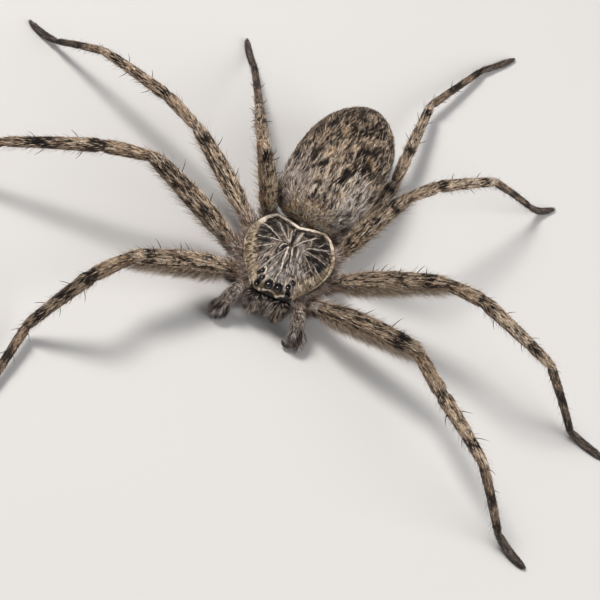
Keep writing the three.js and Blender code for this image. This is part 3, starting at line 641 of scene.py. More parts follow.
def leg_cells(g, U, phi):
    """Pale strands, dark dashes and small flecks of a leg: 0 to 1 each."""
    seed = 100 + 13 * list(LEGS).index(g.owner)
    arc = around(phi) * {"femur": 1.3, "patella": .95, "tibia": .9}.get(g.kind, .7) * g.scale
    strands = cells(U, arc, 1.25, .32, 1.0, .1, seed + 3, .7)
    dash = cells(U, arc, 1.35, .46, .52, .125, seed + 40, DASHES[g.owner])
    fleck = cells(U, arc, .8, .34, .26, .075, seed + 60, .35)
    return strands, dash, fleck, arc


def leg_colour(num, c, P, sel):
    g = SEGMENTS[num]
    s, U, y, z, phi = (c[k][sel] for k in ("s", "U", "y", "z", "phi"))
    seed = 100 + 13 * list(LEGS).index(g.owner)
    k = g.kind
    side = np.sin(phi)
    top = smooth(side, -.6, .3)
    strands, dash, fleck, arc = leg_cells(g, U, phi)
    st = streaks(U, y, z, seed, .19, 1.7)
    blot = fbm(U / 1.5, y / .9, z / .9, seed + 7)
    jit = fbm(U / .7, y / .45, z / .45, seed + 31) - .5
    hairs = noise(U / 1.6, arc / .13, 0 * U, seed + 71) - .5
    if k in ("coxa", "trochanter"):
        st = streaks(U, y, z, seed, .27, 1.7)
    if k in ("coxa", "trochanter"):
        col = mix(rgb(80, 70, 64), rgb(240, 227, 218), smooth(st, .42, .6))
        col = mix(col, rgb(150, 138, 130), .5 * smooth(blot, .45, .6))
        col = mix(col, UMBER * .8, .6 * smooth(.5 - st, .08, .3))
        col = mix(col, CHAR, .5 * fleck)
        col = mix(col, UMBER, .55 * (1 - top))
        col = mix(col, BLACK, .7 * bump1(s + .4 * jit, .97 if k == "coxa" else .9, .06))
        return col
    if k == "femur":
        col = mix(TAN * .7, mix(SAND * .95, CREAM, st), .1 + .86 * smooth(st, .36, .66))
        col = mix(col, UMBER * .62, .78 * smooth(.5 - st, .08, .26))
        # per leg the thighs are a little darker or lighter; the rear right thigh is lightened and warmed as painted
        # light, where it stands in shade
        col = col * {"leg1_left": .7, "leg2_left": .88, "leg1_right": .85, "leg3_left": .86, "leg4_right": 1.04}.get(g.owner, .9)
        if g.owner == "leg4_right":
            col = mix(col, rgb(255, 222, 178), .9 * smooth(st, .1, .45))
        col = mix(col, CREAM * {"leg1_left": .84, "leg2_left": .96}.get(g.owner, 1.02), .9 * strands * (.4 + .6 * top))
        marks = dash * smooth(side, -.45, .15)
        marks = np.maximum(marks, .8 * fleck * smooth(side, -.8, .0))
        marks = np.maximum(marks, smooth(blot, .64, .72) * .8 * top * (g.owner in ("leg2_right", "leg3_right", "leg4_right", "leg3_left")))
        end = bump1(s + .13 * jit + .08 * hairs, .885, .058, .25) * smooth(side + .3 * jit, -.2, .2)
        marks = np.maximum(marks, end)
        marks = np.maximum(marks, .75 * bump1(s + .2 * jit, .64, .022) * smooth(side, .4, .8))
        if g.owner == "leg2_left":
            marks = np.maximum(marks, bump1(s + .1 * jit, .13, .1) * bump1(phi, -.1, .4))
        under = mix(MID, SAND, .85 * st)
        col = mix(under * .95, col, .2 + .8 * top)
        col = mix(col, CREAM, .6 * bump1(s, .965, .018) * top)
        col = mix(col, BLACK, .94 * marks)
        return mix(col, RUST * .75, .5 * smooth(s, .95, .985) * (1 - smooth(side, -.5, .2)))
    if k == "patella":
        dark = 1 - smooth(s + .25 * jit, .3, .5)
        col = mix(TAN * .82, CREAM, .2 + .75 * smooth(st, .3, .72))
        col = mix(col, mix(UMBER, TAN, st), (.75 if g.owner in ("leg1_left", "leg1_right") else .5) * dark)
        marks = np.maximum(.85 * dash * (.5 + .5 * dark), .8 * fleck)
        marks = np.maximum(marks, .85 * bump1(s + .25 * jit, .08, .07) * smooth(side, -.2, .4))
        marks = np.maximum(marks, .95 * smooth(s + .15 * jit, .93, .99) * (g.owner != "leg4_left"))
        col = mix(col, BLACK, .9 * marks)
        col = mix(mix(MID, SAND, st) * .9, col, .25 + .75 * top)
        return mix(col, RUST * .75, .45 * (1 - smooth(s, .02, .1)) * (1 - smooth(side, -.4, .2)))
    if k == "tibia":
        col = mix(TAN * .78, CREAM, .15 + .8 * smooth(st, .3, .72))
        col = mix(col, UMBER * .9, .7 * smooth(.5 - st, .02, .3))
        if g.owner == "leg1_right":
            col = mix(col, UMBER * .75, .8 * smooth(fbm(U / 2.2, arc / .22, 0 * U, seed + 77), .4, .56))
        col = mix(col, CREAM, .6 * strands * top)
        marks = np.maximum(.9 * dash, .75 * fleck) * (.35 + .65 * top)
        for s0, w, f in LEG_RINGS[g.owner]:
            marks = np.maximum(marks, np.minimum(1, 1.15 * f) * bump1(s + .1 * jit + .12 * hairs, s0, w * 1.1, .25) * (.5 + .5 * top))
        col = mix(col, BLACK, .93 * marks)
        col = mix(col, CREAM, .6 * bump1(s + .05 * jit, .93, .04) * top)
        col = mix(mix(MID, TAN, st) * .9, col, .35 + .65 * top)
        return mix(col, RUST * .75, .45 * smooth(s, .96, .99) * (1 - smooth(side, -.4, .3)))
    if k == "metatarsus":
        col = mix(MID * .95, SAND, smooth(st, .2, .8))
        dark = .3 + .3 * s
        if g.owner in ("leg3_right", "leg4_right", "leg2_right"):
            dark = .25 + .6 * smooth(s, .35, .6)
        col = mix(col, CHAR, dark * .68)
        col = mix(col, SAND, .4 * strands * (1 - s))
        marks = .7 * dash * (1 - smooth(s, .5, .8))
        for s0, w, f in ((.03, .05, .7), (.47, .085, .85), (.88, .08, .9)):
            marks = np.maximum(marks, f * bump1(s + .12 * jit + .12 * hairs, s0, w, .4))
        col = mix(col, BLACK, .88 * marks)
        return mix(CHAR * .95, col, .35 + .65 * top)
    col = mix(rgb(64, 56, 51), GREY * .95, .8 * smooth(st, .35, .7) * (1 - .5 * s))      # tarsus
    return mix(SLATE * .8, col, .3 + .7 * top)


def palp_colour(num, c, P, sel):
    g = SEGMENTS[num]
    s, U, y, z, phi = (c[k][sel] for k in ("s", "U", "y", "z", "phi"))
    st = streaks(U, y, z, 400, .21, 1.2)
    top = smooth(np.sin(phi), -.6, .4)
    jit = fbm(U / .5, y / .4, z / .4, 411) - .5
    if g.kind == "palp_femur":
        col = mix(MID, SAND, st)
        return mix(col, CHAR, .5 * (1 - top))
    if g.kind == "palp_tibia":
        col = mix(rgb(96, 82, 74), rgb(250, 238, 224), smooth(st, .4, .62))
        for u0, w in ((4.3, .1), (4.9, .12), (5.5, .12), (6.4, .2)):
            col = mix(col, BLACK * 1.2, .92 * bump1(U + .2 * jit, u0, w, .5))
        return mix(col, MID * .8, .5 * (1 - top))
    col = mix(rgb(46, 39, 36), rgb(246, 232, 222), smooth(st, .42, .64))
    col = mix(col, CREAM * 1.05, .8 * bump1(s, .05, .05, .4) * top)
    return mix(col, CHAR * .8, .6 * bump1(s, .14, .05, .6))


# Marks of the abdomen as drawn strokes: points (along, across, up from its middle), half width, strength.
ABDOMEN_DARK = [
    ([(-0, -1.9, 4.4), (0.6, -1.6, 4.4), (1.2, -1.4, 4.5)], 0.47, 1), ([(-0.2, -2.4, 4.2), (0.2, -2.1, 4.3)], 0.13, 0.9),
    ([(-0.2, 1.6, 4.4), (0.6, 1.7, 4.4), (1.4, 1.9, 4.4)], 0.52, 1), ([(1.4, 1.1, 4.5), (1.3, 1.4, 4.5)], 0.15, 0.95),
    ([(-0.7, 1.2, 4.5), (-0.1, 1.2, 4.5)], 0.15, 0.9),
    ([(4.3, 1.4, 4.4), (4.8, 1.8, 4.3), (5.3, 2.2, 4.2), (5.9, 2.6, 4), (6.3, 3.2, 3.7)], 0.24, 0.95),
    ([(5.6, 1.7, 4.3), (5.6, 2.1, 4.1)], 0.2, 0.9), ([(7, -0.3, 4.3), (7, 0.1, 4.3)], 0.28, 0.8),
    ([(7.8, -0.5, 4.2), (8.1, 0.1, 4.2), (8.5, 0.6, 4.1)], 0.17, 0.85), ([(7.8, 0.6, 4.2), (8.7, 0.8, 4)], 0.2, 0.95),
    ([(10.6, -0.8, 3.7), (11.1, -0.3, 3.6)], 0.16, 0.85), ([(11, 0.2, 3.6), (10.9, 0.8, 3.6)], 0.13, 0.8),
    ([(5, -2.9, 3.9), (5.6, -2.6, 4), (6.2, -2.3, 4)], 0.15, 0.9), ([(5.7, -2, 4.2), (5.8, -1.5, 4.3)], 0.23, 0.75),
    ([(5.8, -4.3, 3), (6.2, -4.2, 3.1)], 0.11, 0.95), ([(7.8, -3.6, 3.2), (8.2, -3.1, 3.5)], 0.2, 0.55),
    ([(3.9, -4.7, 2.8), (3.5, -4.4, 3.1)], 0.16, 0.85), ([(3.4, -3.9, 3.5), (3.7, -3.8, 3.5)], 0.19, 0.8),
    ([(1.7, -4.9, 2.7), (1.6, -4.3, 3.3)], 0.15, 0.8), ([(2.5, -3.8, 3.6), (1.7, -3.4, 3.8)], 0.13, 0.85),
    ([(8.8, 2.2, 3.7), (9.3, 2.6, 3.5), (9.8, 3.1, 3.1)], 0.19, 0.9), ([(10.7, 2.1, 3.4), (11.5, 2.4, 3)], 0.12, 0.8),
    ([(9.5, 3.6, 2.9), (9.6, 4.3, 2.2)], 0.11, 0.75), ([(6.3, 4.2, 3), (6.9, 4.2, 2.9)], 0.11, 0.8), ([(7, 4.5, 2.7), (7.6, 4.5, 2.6)], 0.11, 0.8),
    ([(3.8, 3.5, 3.7), (4, 3.5, 3.7)], 0.19, 0.9), ([(3.2, 3.4, 3.8), (2.6, 3.3, 3.8)], 0.19, 0.7), ([(-4.5, -1, 3.5), (-4.3, -0.9, 4)], 0.16, 0.9),
    ([(-3.7, -0.5, 4.5), (-3.1, -0.5, 4.6), (-2.5, -0.6, 4.6)], 0.25, 0.95), ([(-2.2, 0.7, 4.6), (-1.6, 0.8, 4.6)], 0.2, 0.95),
    ([(-4, 1.1, 4.3), (-3.5, 0.8, 4.5)], 0.24, 0.95), ([(-4.6, 1.2, 3.1), (-4.4, 1.3, 3.7)], 0.16, 0.75),
    ([(-4.9, 0.7, 1.9), (-4.9, 0.7, 1.1)], 0.13, 0.8), ([(-4.9, -1.9, -0.5), (-4.9, -1.7, 0.1)], 0.2, 0.9),
    ([(-5, -1.1, -0.5), (-4.9, -1.3, 0.8)], 0.44, 1), ([(-4.9, -1.1, 1.6), (-4.8, -0.8, 2.1)], 0.13, 0.8),
    ([(-5, 0.8, -0.6), (-5, 1.1, 0), (-4.9, 1.5, 0.6)], 0.38, 1), ([(-5, 0.7, 0.7), (-5, 0.7, 0.2)], 0.15, 0.85),
    ([(-1.9, -4.1, 3.4), (-1.5, -4, 3.5)], 0.11, 0.9), ([(-4.7, -2, 2.4), (-4.6, -1.9, 3)], 0.08, 0.85),
    ([(-4.4, -2.9, 3.3), (-3.7, -3.3, 3.7), (-3, -3.5, 3.7)], 0.08, 0.75), ([(1.5, -0, 4.6), (1.9, 0.1, 4.6)], 0.19, 0.95),
    ([(0.6, 0.2, 4.6), (1.1, 0.2, 4.6)], 0.11, 0.85), ([(2.3, 0.6, 4.6), (1.9, 1.1, 4.5)], 0.15, 0.9),
    ([(-1.1, -0.1, 4.6), (-0.3, 0, 4.6), (0.4, 0.1, 4.6)], 0.08, 0.8), ([(-2.2, 3.8, 3.6), (-1.9, 3.9, 3.6)], 0.11, 0.9),
    ([(-0.7, 3.7, 3.6), (-0.9, 4.2, 3.4)], 0.13, 0.65), ([(-0.6, 5, 2.7), (-0.3, 4.7, 2.9)], 0.12, 0.8),
    ([(-0.3, 5.2, 2.3), (0.5, 5.4, 2.2)], 0.08, 0.85), ([(2.4, 5.8, 1.3), (1.5, 5.8, 1.5), (1, 5.8, 1.5)], 0.13, 0.85),
    ([(1.8, 3.4, 3.8), (1.6, 3.7, 3.6)], 0.16, 0.85), ([(3.5, 4.5, 3), (2.8, 4.7, 2.9)], 0.12, 0.65),
    ([(3.3, 5.2, 2.3), (3.8, 5.2, 2.3)], 0.12, 0.85), ([(3.7, 1.1, 4.5), (3.4, 1, 4.5)], 0.12, 0.8), ([(3.7, 0.4, 4.5), (2.9, 0.5, 4.6)], 0.13, 0.6),
    ([(3.4, -0.9, 4.5), (3.1, -0.6, 4.5)], 0.13, 0.7), ([(11.9, -2.1, 3), (12.2, -1.5, 3.1), (12.8, -0.5, 3.1)], 0.09, 0.6),
    ([(8.7, -0.8, 4), (8, -0.7, 4.2)], 0.12, 0.8), ([(-4.7, 3.7, 1), (-4.6, 3.8, 1.8), (-4.6, 3.5, 2.2)], 0.15, 0.75),
    ([(-4.6, 2.8, 2.7), (-4.2, 3.2, 3.4)], 0.09, 0.7), ([(-3.1, 4.3, 3.2), (-2.2, 4.4, 3.2)], 0.09, 0.7),
    ([(-2.5, -2.9, 4.1), (-1.8, -2.9, 4)], 0.09, 0.7),
]
ABDOMEN_LIGHT = [
    ([(1.6, -0.8, 4.5), (0.7, -0.8, 4.6), (-0.2, -0.6, 4.6), (-1, -0.5, 4.6), (-1.7, -0.5, 4.6)], 0.2, 0.95),
    ([(1.4, 0.1, 4.6), (0.6, 0.1, 4.6), (-0.4, 0, 4.6)], 0.08, 0.7),
    ([(1.8, 0.7, 4.6), (0.9, 0.8, 4.6), (0, 0.8, 4.6), (-0.6, 0.8, 4.6)], 0.2, 0.95),
    ([(-2.8, -0.1, 4.6), (-3.9, 0, 4.4), (-4.4, 0.1, 3.7), (-4.7, 0, 2.9), (-4.9, -0.2, 1.9)], 0.09, 0.95),
    ([(-2.9, 0.2, 4.6), (-3.8, 0.3, 4.4), (-4.4, 0.4, 3.8), (-4.7, 0.4, 2.9)], 0.09, 0.9),
    ([(-4.3, -1.1, 4), (-3.9, -0.9, 4.4), (-3.4, -0.9, 4.5)], 0.15, 0.9), ([(-2.5, -2, 4.3), (-1.7, -1.9, 4.4)], 0.15, 0.8),
    ([(-1, -4.2, 3.3), (-0.5, -4, 3.5), (-0, -3.7, 3.6)], 0.11, 0.9), ([(-3.6, 1.4, 4.4), (-2.8, 1.4, 4.5)], 0.16, 1),
    ([(-3.8, 3.1, 3.8), (-3.3, 3, 4)], 0.17, 0.85), ([(-4.9, 1.5, 1.3), (-4.7, 1.9, 2.4), (-4.5, 2.2, 3.2)], 0.12, 0.8),
    ([(-4.8, 0.2, 2), (-4.7, 0.5, 3), (-4.5, 0.7, 3.6)], 0.08, 0.8), ([(2.3, -1.7, 4.4), (2.7, -1.5, 4.4), (3.1, -1.3, 4.5)], 0.2, 1),
    ([(2.2, -1.4, 4.5), (2.1, -1, 4.5)], 0.16, 0.9), ([(6.9, -1.5, 4.2), (6.5, -1.4, 4.2)], 0.15, 0.95),
    ([(7.5, -1.6, 4.1), (8.1, -0.9, 4.1)], 0.09, 1), ([(2.4, -4.1, 3.4), (2.8, -4.2, 3.3)], 0.11, 1),
    ([(4.6, -1, 4.4), (5.2, -0.8, 4.4), (5.8, -0.7, 4.4)], 0.15, 0.8), ([(4.5, -0.3, 4.5), (5, -0.3, 4.5)], 0.13, 0.9),
    ([(4.6, 1, 4.5), (5, 0.9, 4.4), (5.7, 1.2, 4.3)], 0.16, 0.85), ([(4, 1.2, 4.5), (4.5, 1.2, 4.4)], 0.15, 0.9),
    ([(7, 0.9, 4.3), (7.5, 1.3, 4.1)], 0.13, 0.85), ([(3.2, 0.3, 4.6), (3.2, 0.8, 4.5), (3.1, 1.1, 4.5)], 0.23, 0.65),
    ([(1.9, -0.5, 4.6), (2.4, -0.3, 4.6), (2.8, 0.1, 4.6)], 0.12, 0.8), ([(4.7, 3.8, 3.5), (4.5, 4.2, 3.2)], 0.19, 0.8),
    ([(0.1, 2.8, 4.1), (0.8, 3, 4), (1.5, 3.1, 4)], 0.11, 1), ([(-0, 3.7, 3.6), (0.4, 4, 3.5)], 0.19, 0.85),
    ([(-1.5, 3.6, 3.7), (-1, 3.5, 3.8)], 0.16, 0.9), ([(-2.8, 3.5, 3.7), (-2.2, 3.6, 3.7)], 0.09, 0.9),
    ([(0.2, 5.1, 2.5), (1.1, 5.2, 2.3), (2.2, 5.4, 2.1), (3.1, 5.5, 1.9)], 0.11, 0.9), ([(-0.7, 5.5, 2), (0.1, 5.5, 2), (0.8, 5.6, 1.9)], 0.09, 0.8),
    ([(2.5, 6.1, 0.2), (3.2, 6, 0.4), (4, 6, 0.4)], 0.09, 0.75), ([(4.2, 5.9, 1), (3.8, 5.5, 1.8)], 0.13, 0.7),
    ([(5.4, 5.1, 2.3), (6, 5.1, 2.2)], 0.23, 0.6), ([(-1.3, -6, 0.6), (-3.7, -5.4, 1.9), (-4.3, -4.8, 1.6)], 0.21, 0.6),
    ([(-4.3, -3.9, 2.8), (-4.5, -3.4, 2.5)], 0.19, 0.6), ([(-4.8, -3.1, -0.8), (-4.8, -2.9, 0.5), (-4.8, -2.4, 1.5), (-4.6, -1.9, 2.8)], 0.12, 0.85),
    ([(-4.8, -2.4, 1.1), (-4.8, -2, 2.1), (-4.6, -1.7, 3)], 0.11, 0.9), ([(-4.9, -1.5, 1.3), (-4.8, -1.3, 2.3), (-4.6, -1.2, 3.1)], 0.12, 0.85),
    ([(-4.8, 2.5, 1.6), (-4.6, 2.8, 2.3), (-4.5, 2.9, 2.9)], 0.27, 0.7), ([(-4.7, 4.3, -1), (-4.5, 4.9, -0.3)], 0.13, 0.7),
    ([(0.4, -4.5, 3.1), (1.1, -4.3, 3.3)], 0.12, 0.7), ([(13.5, 1.1, 2.7), (14.6, 1.1, 2.1)], 0.11, 0.7),
    ([(11.2, 1.9, 3.3), (12.3, 2.1, 2.9)], 0.08, 0.8), ([(8.3, 3.9, 2.9), (8, 4.3, 2.6)], 0.17, 0.7),
    ([(2.6, 1.3, 4.5), (2.2, 1.8, 4.4)], 0.13, 0.7),
]
ABDOMEN_GOLD = [
    ([(2.2, -1.8, 4.4), (2.7, -1.5, 4.4), (3.2, -1.2, 4.5)], 0.43, 0.9), ([(6.8, -1.5, 4.2), (6.2, -1.1, 4.3)], 0.35, 0.6),
    ([(5.2, 3, 3.9), (4.6, 3.9, 3.4)], 0.45, 0.55), ([(-2.1, -1.4, 4.5), (-1.4, -1.3, 4.5)], 0.4, 0.55),
    ([(2.5, 1.5, 4.4), (2.1, 1.9, 4.4)], 0.29, 0.5), ([(1.7, -0.5, 4.6), (2.8, 0.1, 4.6)], 0.27, 0.5),
    ([(8.1, -0.9, 4.1), (7.4, -1.5, 4.1)], 0.27, 0.5), ([(-2.7, 2.3, 4.3), (-1.3, 3, 4)], 0.4, 0.35),
    ([(-4.9, -2.8, -0.6), (-4.8, -2.1, 1.5)], 0.47, 0.6), ([(-4.8, -3.5, 0.2), (-4.9, -2.7, -0.4)], 0.33, 0.5),
]


def abdomen_colour(c, P, sel):
    x, y, z = c["U"][sel], c["y"][sel], c["z"][sel]
    phi = c["phi"][sel]
    u = x / np.where(x < 0, AB_FRONT, AB_REAR)
    Q = np.stack([x, y, z], -1) / np.sqrt(np.abs(u) ** np.where(u < 0, 9.0, 2.58) + (y / 6.1) ** 2 + (z / 4.6) ** 2)[:, None]
    st = streaks(x, y, z, 510, .21, .75)
    pale = noise(x / .6, y / .2, z / .2, 515)
    pale2 = noise(x / .6, y / .11, z / .11, 516)
    dark = noise(x / .5, y / .26, z / .26, 517)
    clump = noise(x / .8, y / .55, z / .55, 518)
    blot = fbm(x / .95, y / .85, z / .85, 521, 4)
    large = fbm(x / 2.6, y / 1.9, z / 1.9, 523, 3)
    flank = smooth(np.abs(y), 2.4, 4.8)
    rear = smooth(x + .5 * np.abs(y), 2.5, 7.0)
    base = smooth(-x - .02 * y * y * (z > 0) + .5 * (noise(x / .4, y / .3, z / .3, 527) - .5), 4.1, 4.9)
    up = np.maximum(smooth(np.sin(phi), -.4, .25), smooth(-x, 3.2, 4.4) * smooth(z, -2.6, -1.5))
    lightc = mix(rgb(218, 207, 195), rgb(184, 162, 136), .1 + .65 * rear)
    lightc = mix(lightc, rgb(212, 202, 196), .75 * flank * (1 - rear))
    darkc = mix(rgb(70, 60, 53), UMBER * .6, rear)
    tone = .62 * st + .38 * np.clip((clump - .5) * 1.7 + .5, 0, 1)
    col = mix(darkc, lightc, smooth(tone, .36, .7) * (1 - .15 * rear))
    col = mix(col, lightc * .98, .45 * smooth(large, .5, .6) * (1 - base))
    col = mix(col, darkc, .4 * smooth(.5 - large, .0, .1))
    col = mix(col, rgb(42, 34, 29), .92 * smooth(blot + .25 * (.5 - large), .5, .56) * (.72 + .24 * rear) * (1 - .75 * base))
    col = mix(col, lightc * 1.08, .92 * smooth(pale, .62, .73) * (1 - .25 * rear))
    col = mix(col, CREAM * 1.05, .85 * smooth(pale2, .73, .82))
    col = mix(col, BLACK, .95 * smooth(dark, .66, .74) * (1 - .6 * base))
    # golden longer hair over the base, painted lighter than its own gold where the base lies in shade
    gold = mix(rgb(138, 108, 78), rgb(250, 228, 194), smooth(st, .3, .62))
    col = mix(col, gold, .8 * base)
    g_ = strokes(Q, ABDOMEN_GOLD, 541, .6, .15)
    col = mix(col, mix(rgb(150, 106, 62), rgb(224, 180, 128), smooth(st, .25, .7)), .75 * g_)
    d_ = strokes(Q, ABDOMEN_DARK, 543, .4, .12)
    l_ = strokes(Q, ABDOMEN_LIGHT, 547, .5, .07)
    col = mix(col, mix(BLACK, rgb(62, 52, 44), smooth(pale2, .66, .82)), np.clip(1.35 * d_, 0, 1))
    col = mix(col, mix(CREAM * .84, CREAM * 1.08, st), np.clip(1.1 * l_, 0, 1))
    col = mix(col, BLACK, .85 * smooth(-x, 4.2, 4.8) * smooth(-1.5 - z, 0, .7) * (np.abs(y) < 2.6) * (1 - smooth(-z, 3.0, 3.8)) * (1 - .7 * st))
    # painted light: the left flank, less towards the rear, is lightened by up to 0.3 where it faces away from the key
    # lamp
    col = np.clip(col * (1 + .3 * smooth(y, 1.2, 4.2) * (1 - .5 * rear))[:, None], 0, 1)
    low = mix(MID, mix(SAND, GREY, .4), smooth(st, .25, .8))
    low = mix(low, CHAR, .5 * smooth(blot, .52, .62))
    # painted light: the base is brightened by up to a third against the shade it lies in
    return np.clip(mix(low, col, .08 + .92 * up) * (1 + .32 * base * up)[:, None], 0, 1)


def body_colours(P, c):
    out = np.zeros((len(P), 3))
    ids = c["id"]
    for num in range(len(SEGMENTS)):
        sel = np.flatnonzero(ids == num)
        if len(sel):
            fn = leg_colour if SEGMENTS[num].owner.startswith("leg") else palp_colour
            out[sel] = fn(num, c, P, sel)
    sel = np.flatnonzero(ids == ABDOMEN_ID)
    out[sel] = abdomen_colour(c, P, sel)
    sel = np.flatnonzero((ids == TRUNK_ID) | (ids == PEDICEL_ID))
    st = streaks(P[sel, 1], P[sel, 0], P[sel, 2], 601)
    wall = mix(rgb(76, 67, 61), rgb(226, 213, 204), smooth(st, .4, .62))
    out[sel] = mix(wall, mix(UMBER, TAN, st), .6 * smooth(4.0 - P[sel, 2], -.3, .6))
    sel = np.flatnonzero(ids == SPIN_ID)
    st = streaks(P[sel, 1], P[sel, 0], P[sel, 2], 611)
    out[sel] = mix(UMBER, TAN, st)
    sel = np.flatnonzero((ids == JAW_L) | (ids == JAW_R))
    st = streaks(P[sel, 2], P[sel, 0], P[sel, 1], 621, .2, 1.3)
    col = mix(rgb(46, 39, 34), rgb(222, 209, 194), smooth(st, .42, .72))
    # painted shadow: black at the top of the jaws, under the head shield's rim
    col = mix(col, BLACK, .85 * smooth(P[sel, 2], 5.0, 5.3))
    col = mix(col, CHAR * .8, .75 * bump1(P[sel, 0], -.15, .2, .6))
    out[sel] = mix(col, CHAR, .15 * smooth(2.6 - P[sel, 2], 0, 1))
    return out


cls = classify(sv)
skin_col = body_colours(sv, cls)
skin = new_object("skin", metres(sv), sf)
# the skin's colours are darkened to 0.8: painted shade for the skin seen in the gaps under the coat
paint(skin, to_linear(skin_col) * .8)

# ------------------------------------------------------------------ head shield
# Marks of the head shield as drawn strokes: points (across, rearward), half width, strength.
SHIELD_LIGHT = [
    ([(-0.36, 0.12), (-0.34, -1.2), (-0.31, -2.25), (-0.17, -3.34)], 0.13, 1), ([(0.13, 0.37), (0.35, -0.51), (0.59, -1.5), (0.67, -1.96)], 0.089, 0.9),
    ([(-0.4, 0.04), (-0.81, -0.63), (-1.19, -1.34), (-1.73, -2.09), (-2.04, -2.61), (-2.26, -3.44)], 0.075, 0.75),
    ([(-0.77, 0.29), (-1.14, 0.12), (-1.31, -0.15), (-1.42, -0.46)], 0.068, 0.95),
    ([(-1.52, 0.39), (-2.22, 0.46), (-2.84, 0.54), (-3.32, 0.61), (-4.05, 0.77), (-4.67, 1.02)], 0.082, 0.9),
    ([(-1.85, 0.76), (-2.42, 1.35), (-3.06, 2), (-3.6, 2.59), (-4.24, 3.34), (-4.8, 3.71)], 0.075, 1),
    ([(-0.53, 0.83), (-1.12, 1.47), (-1.64, 2.13), (-2.07, 2.81), (-2.44, 3.57), (-2.8, 4.27)], 0.096, 0.8),
    ([(-0.56, 0.99), (-0.92, 1.76), (-1.19, 2.53), (-1.36, 3.26), (-1.6, 4.22)], 0.068, 0.7),
    ([(-0.42, 1.12), (-0.56, 1.71), (-0.68, 2.46), (-0.68, 3)], 0.103, 0.85), ([(-0.45, 3.42), (-0.34, 4.69)], 0.068, 1),
    ([(0.47, 1.73), (0.56, 2.62), (0.74, 3.9)], 0.205, 0.85), ([(-4.89, -1.31), (-4.69, -1.08), (-4.26, -0.96), (-3.82, -0.82)], 0.068, 1),
    ([(-3.82, -0.82), (-3.24, -0.65), (-2.59, -0.47), (-2.1, -0.15)], 0.062, 0.6), ([(-2.46, -0.64), (-2.64, -1.04), (-2.92, -1.35)], 0.068, 0.75),
    ([(0.32, 0.37), (0.58, 0.94), (0.92, 1.38), (1.37, 2.05), (1.98, 2.81), (2.63, 3.94)], 0.082, 1),
    ([(1.71, 0.41), (2.18, 1.15), (2.76, 1.57), (3.73, 2.4), (4.78, 3.53)], 0.075, 0.95),
    ([(1.73, 0.19), (2.31, 0.44), (3.01, 0.5), (3.78, 0.67), (4.42, 0.82), (5.08, 1.02)], 0.082, 0.9), ([(1.82, -0.06), (2.26, -0.07), (2.61, 0.05)], 0.068, 0.6),
    ([(2.1, -0.43), (2.62, -0.75), (3.15, -1.05), (3.59, -1.36), (3.99, -1.52)], 0.068, 0.7), ([(3.87, -0.77), (4.28, -0.98), (4.79, -1.09)], 0.082, 0.8),
    ([(3.32, 2.5), (3.52, 3.07), (3.84, 3.8)], 0.068, 0.7), ([(2.12, 2.86), (2.23, 2.4), (2.33, 1.77)], 0.123, 0.5),
    ([(3.44, -1.48), (3.11, -2.18), (2.91, -2.97)], 0.068, 0.7), ([(2.28, -1.32), (2.68, -1.6), (3.07, -1.92)], 0.062, 0.5),
    ([(-3.21, -1.8), (-3.35, -2.48), (-3.48, -2.99)], 0.068, 0.65), ([(-2.82, -1.82), (-2.89, -2.5), (-2.92, -2.94)], 0.055, 0.55),
    ([(-0.09, -3.53), (-0.17, -4.03), (-0.25, -4.49), (-0.31, -4.97)], 0.082, 0.75), ([(-2.16, -3.78), (-1.88, -4.06), (-1.91, -4.57), (-2.05, -4.94)], 0.096, 0.9),
    ([(1.42, -3.88), (1.47, -4.47), (1.24, -5.07), (1.14, -5.57)], 0.068, 0.8), ([(-0.32, -5.45), (-0.24, -5.12)], 0.075, 0.6),
    ([(0.7, -2.26), (1.1, -2.85), (1.15, -3.57)], 0.068, 0.6), ([(2.16, -3.17), (2.4, -2.36), (2.83, -1.58)], 0.058, 0.5),
    ([(2.83, -3.64), (3.09, -2.84), (3.45, -2.2)], 0.058, 0.5), ([(1.29, -2.25), (1.47, -3.11), (2.14, -3.5)], 0.055, 0.4),
    ([(-0.99, -2.71), (-1.16, -3.53), (-1.34, -4.1)], 0.055, 0.45), ([(-1.59, -2.96), (-1.79, -3.71)], 0.055, 0.45),
    ([(-3.19, -3.26), (-3.11, -3.93)], 0.055, 0.45),
]
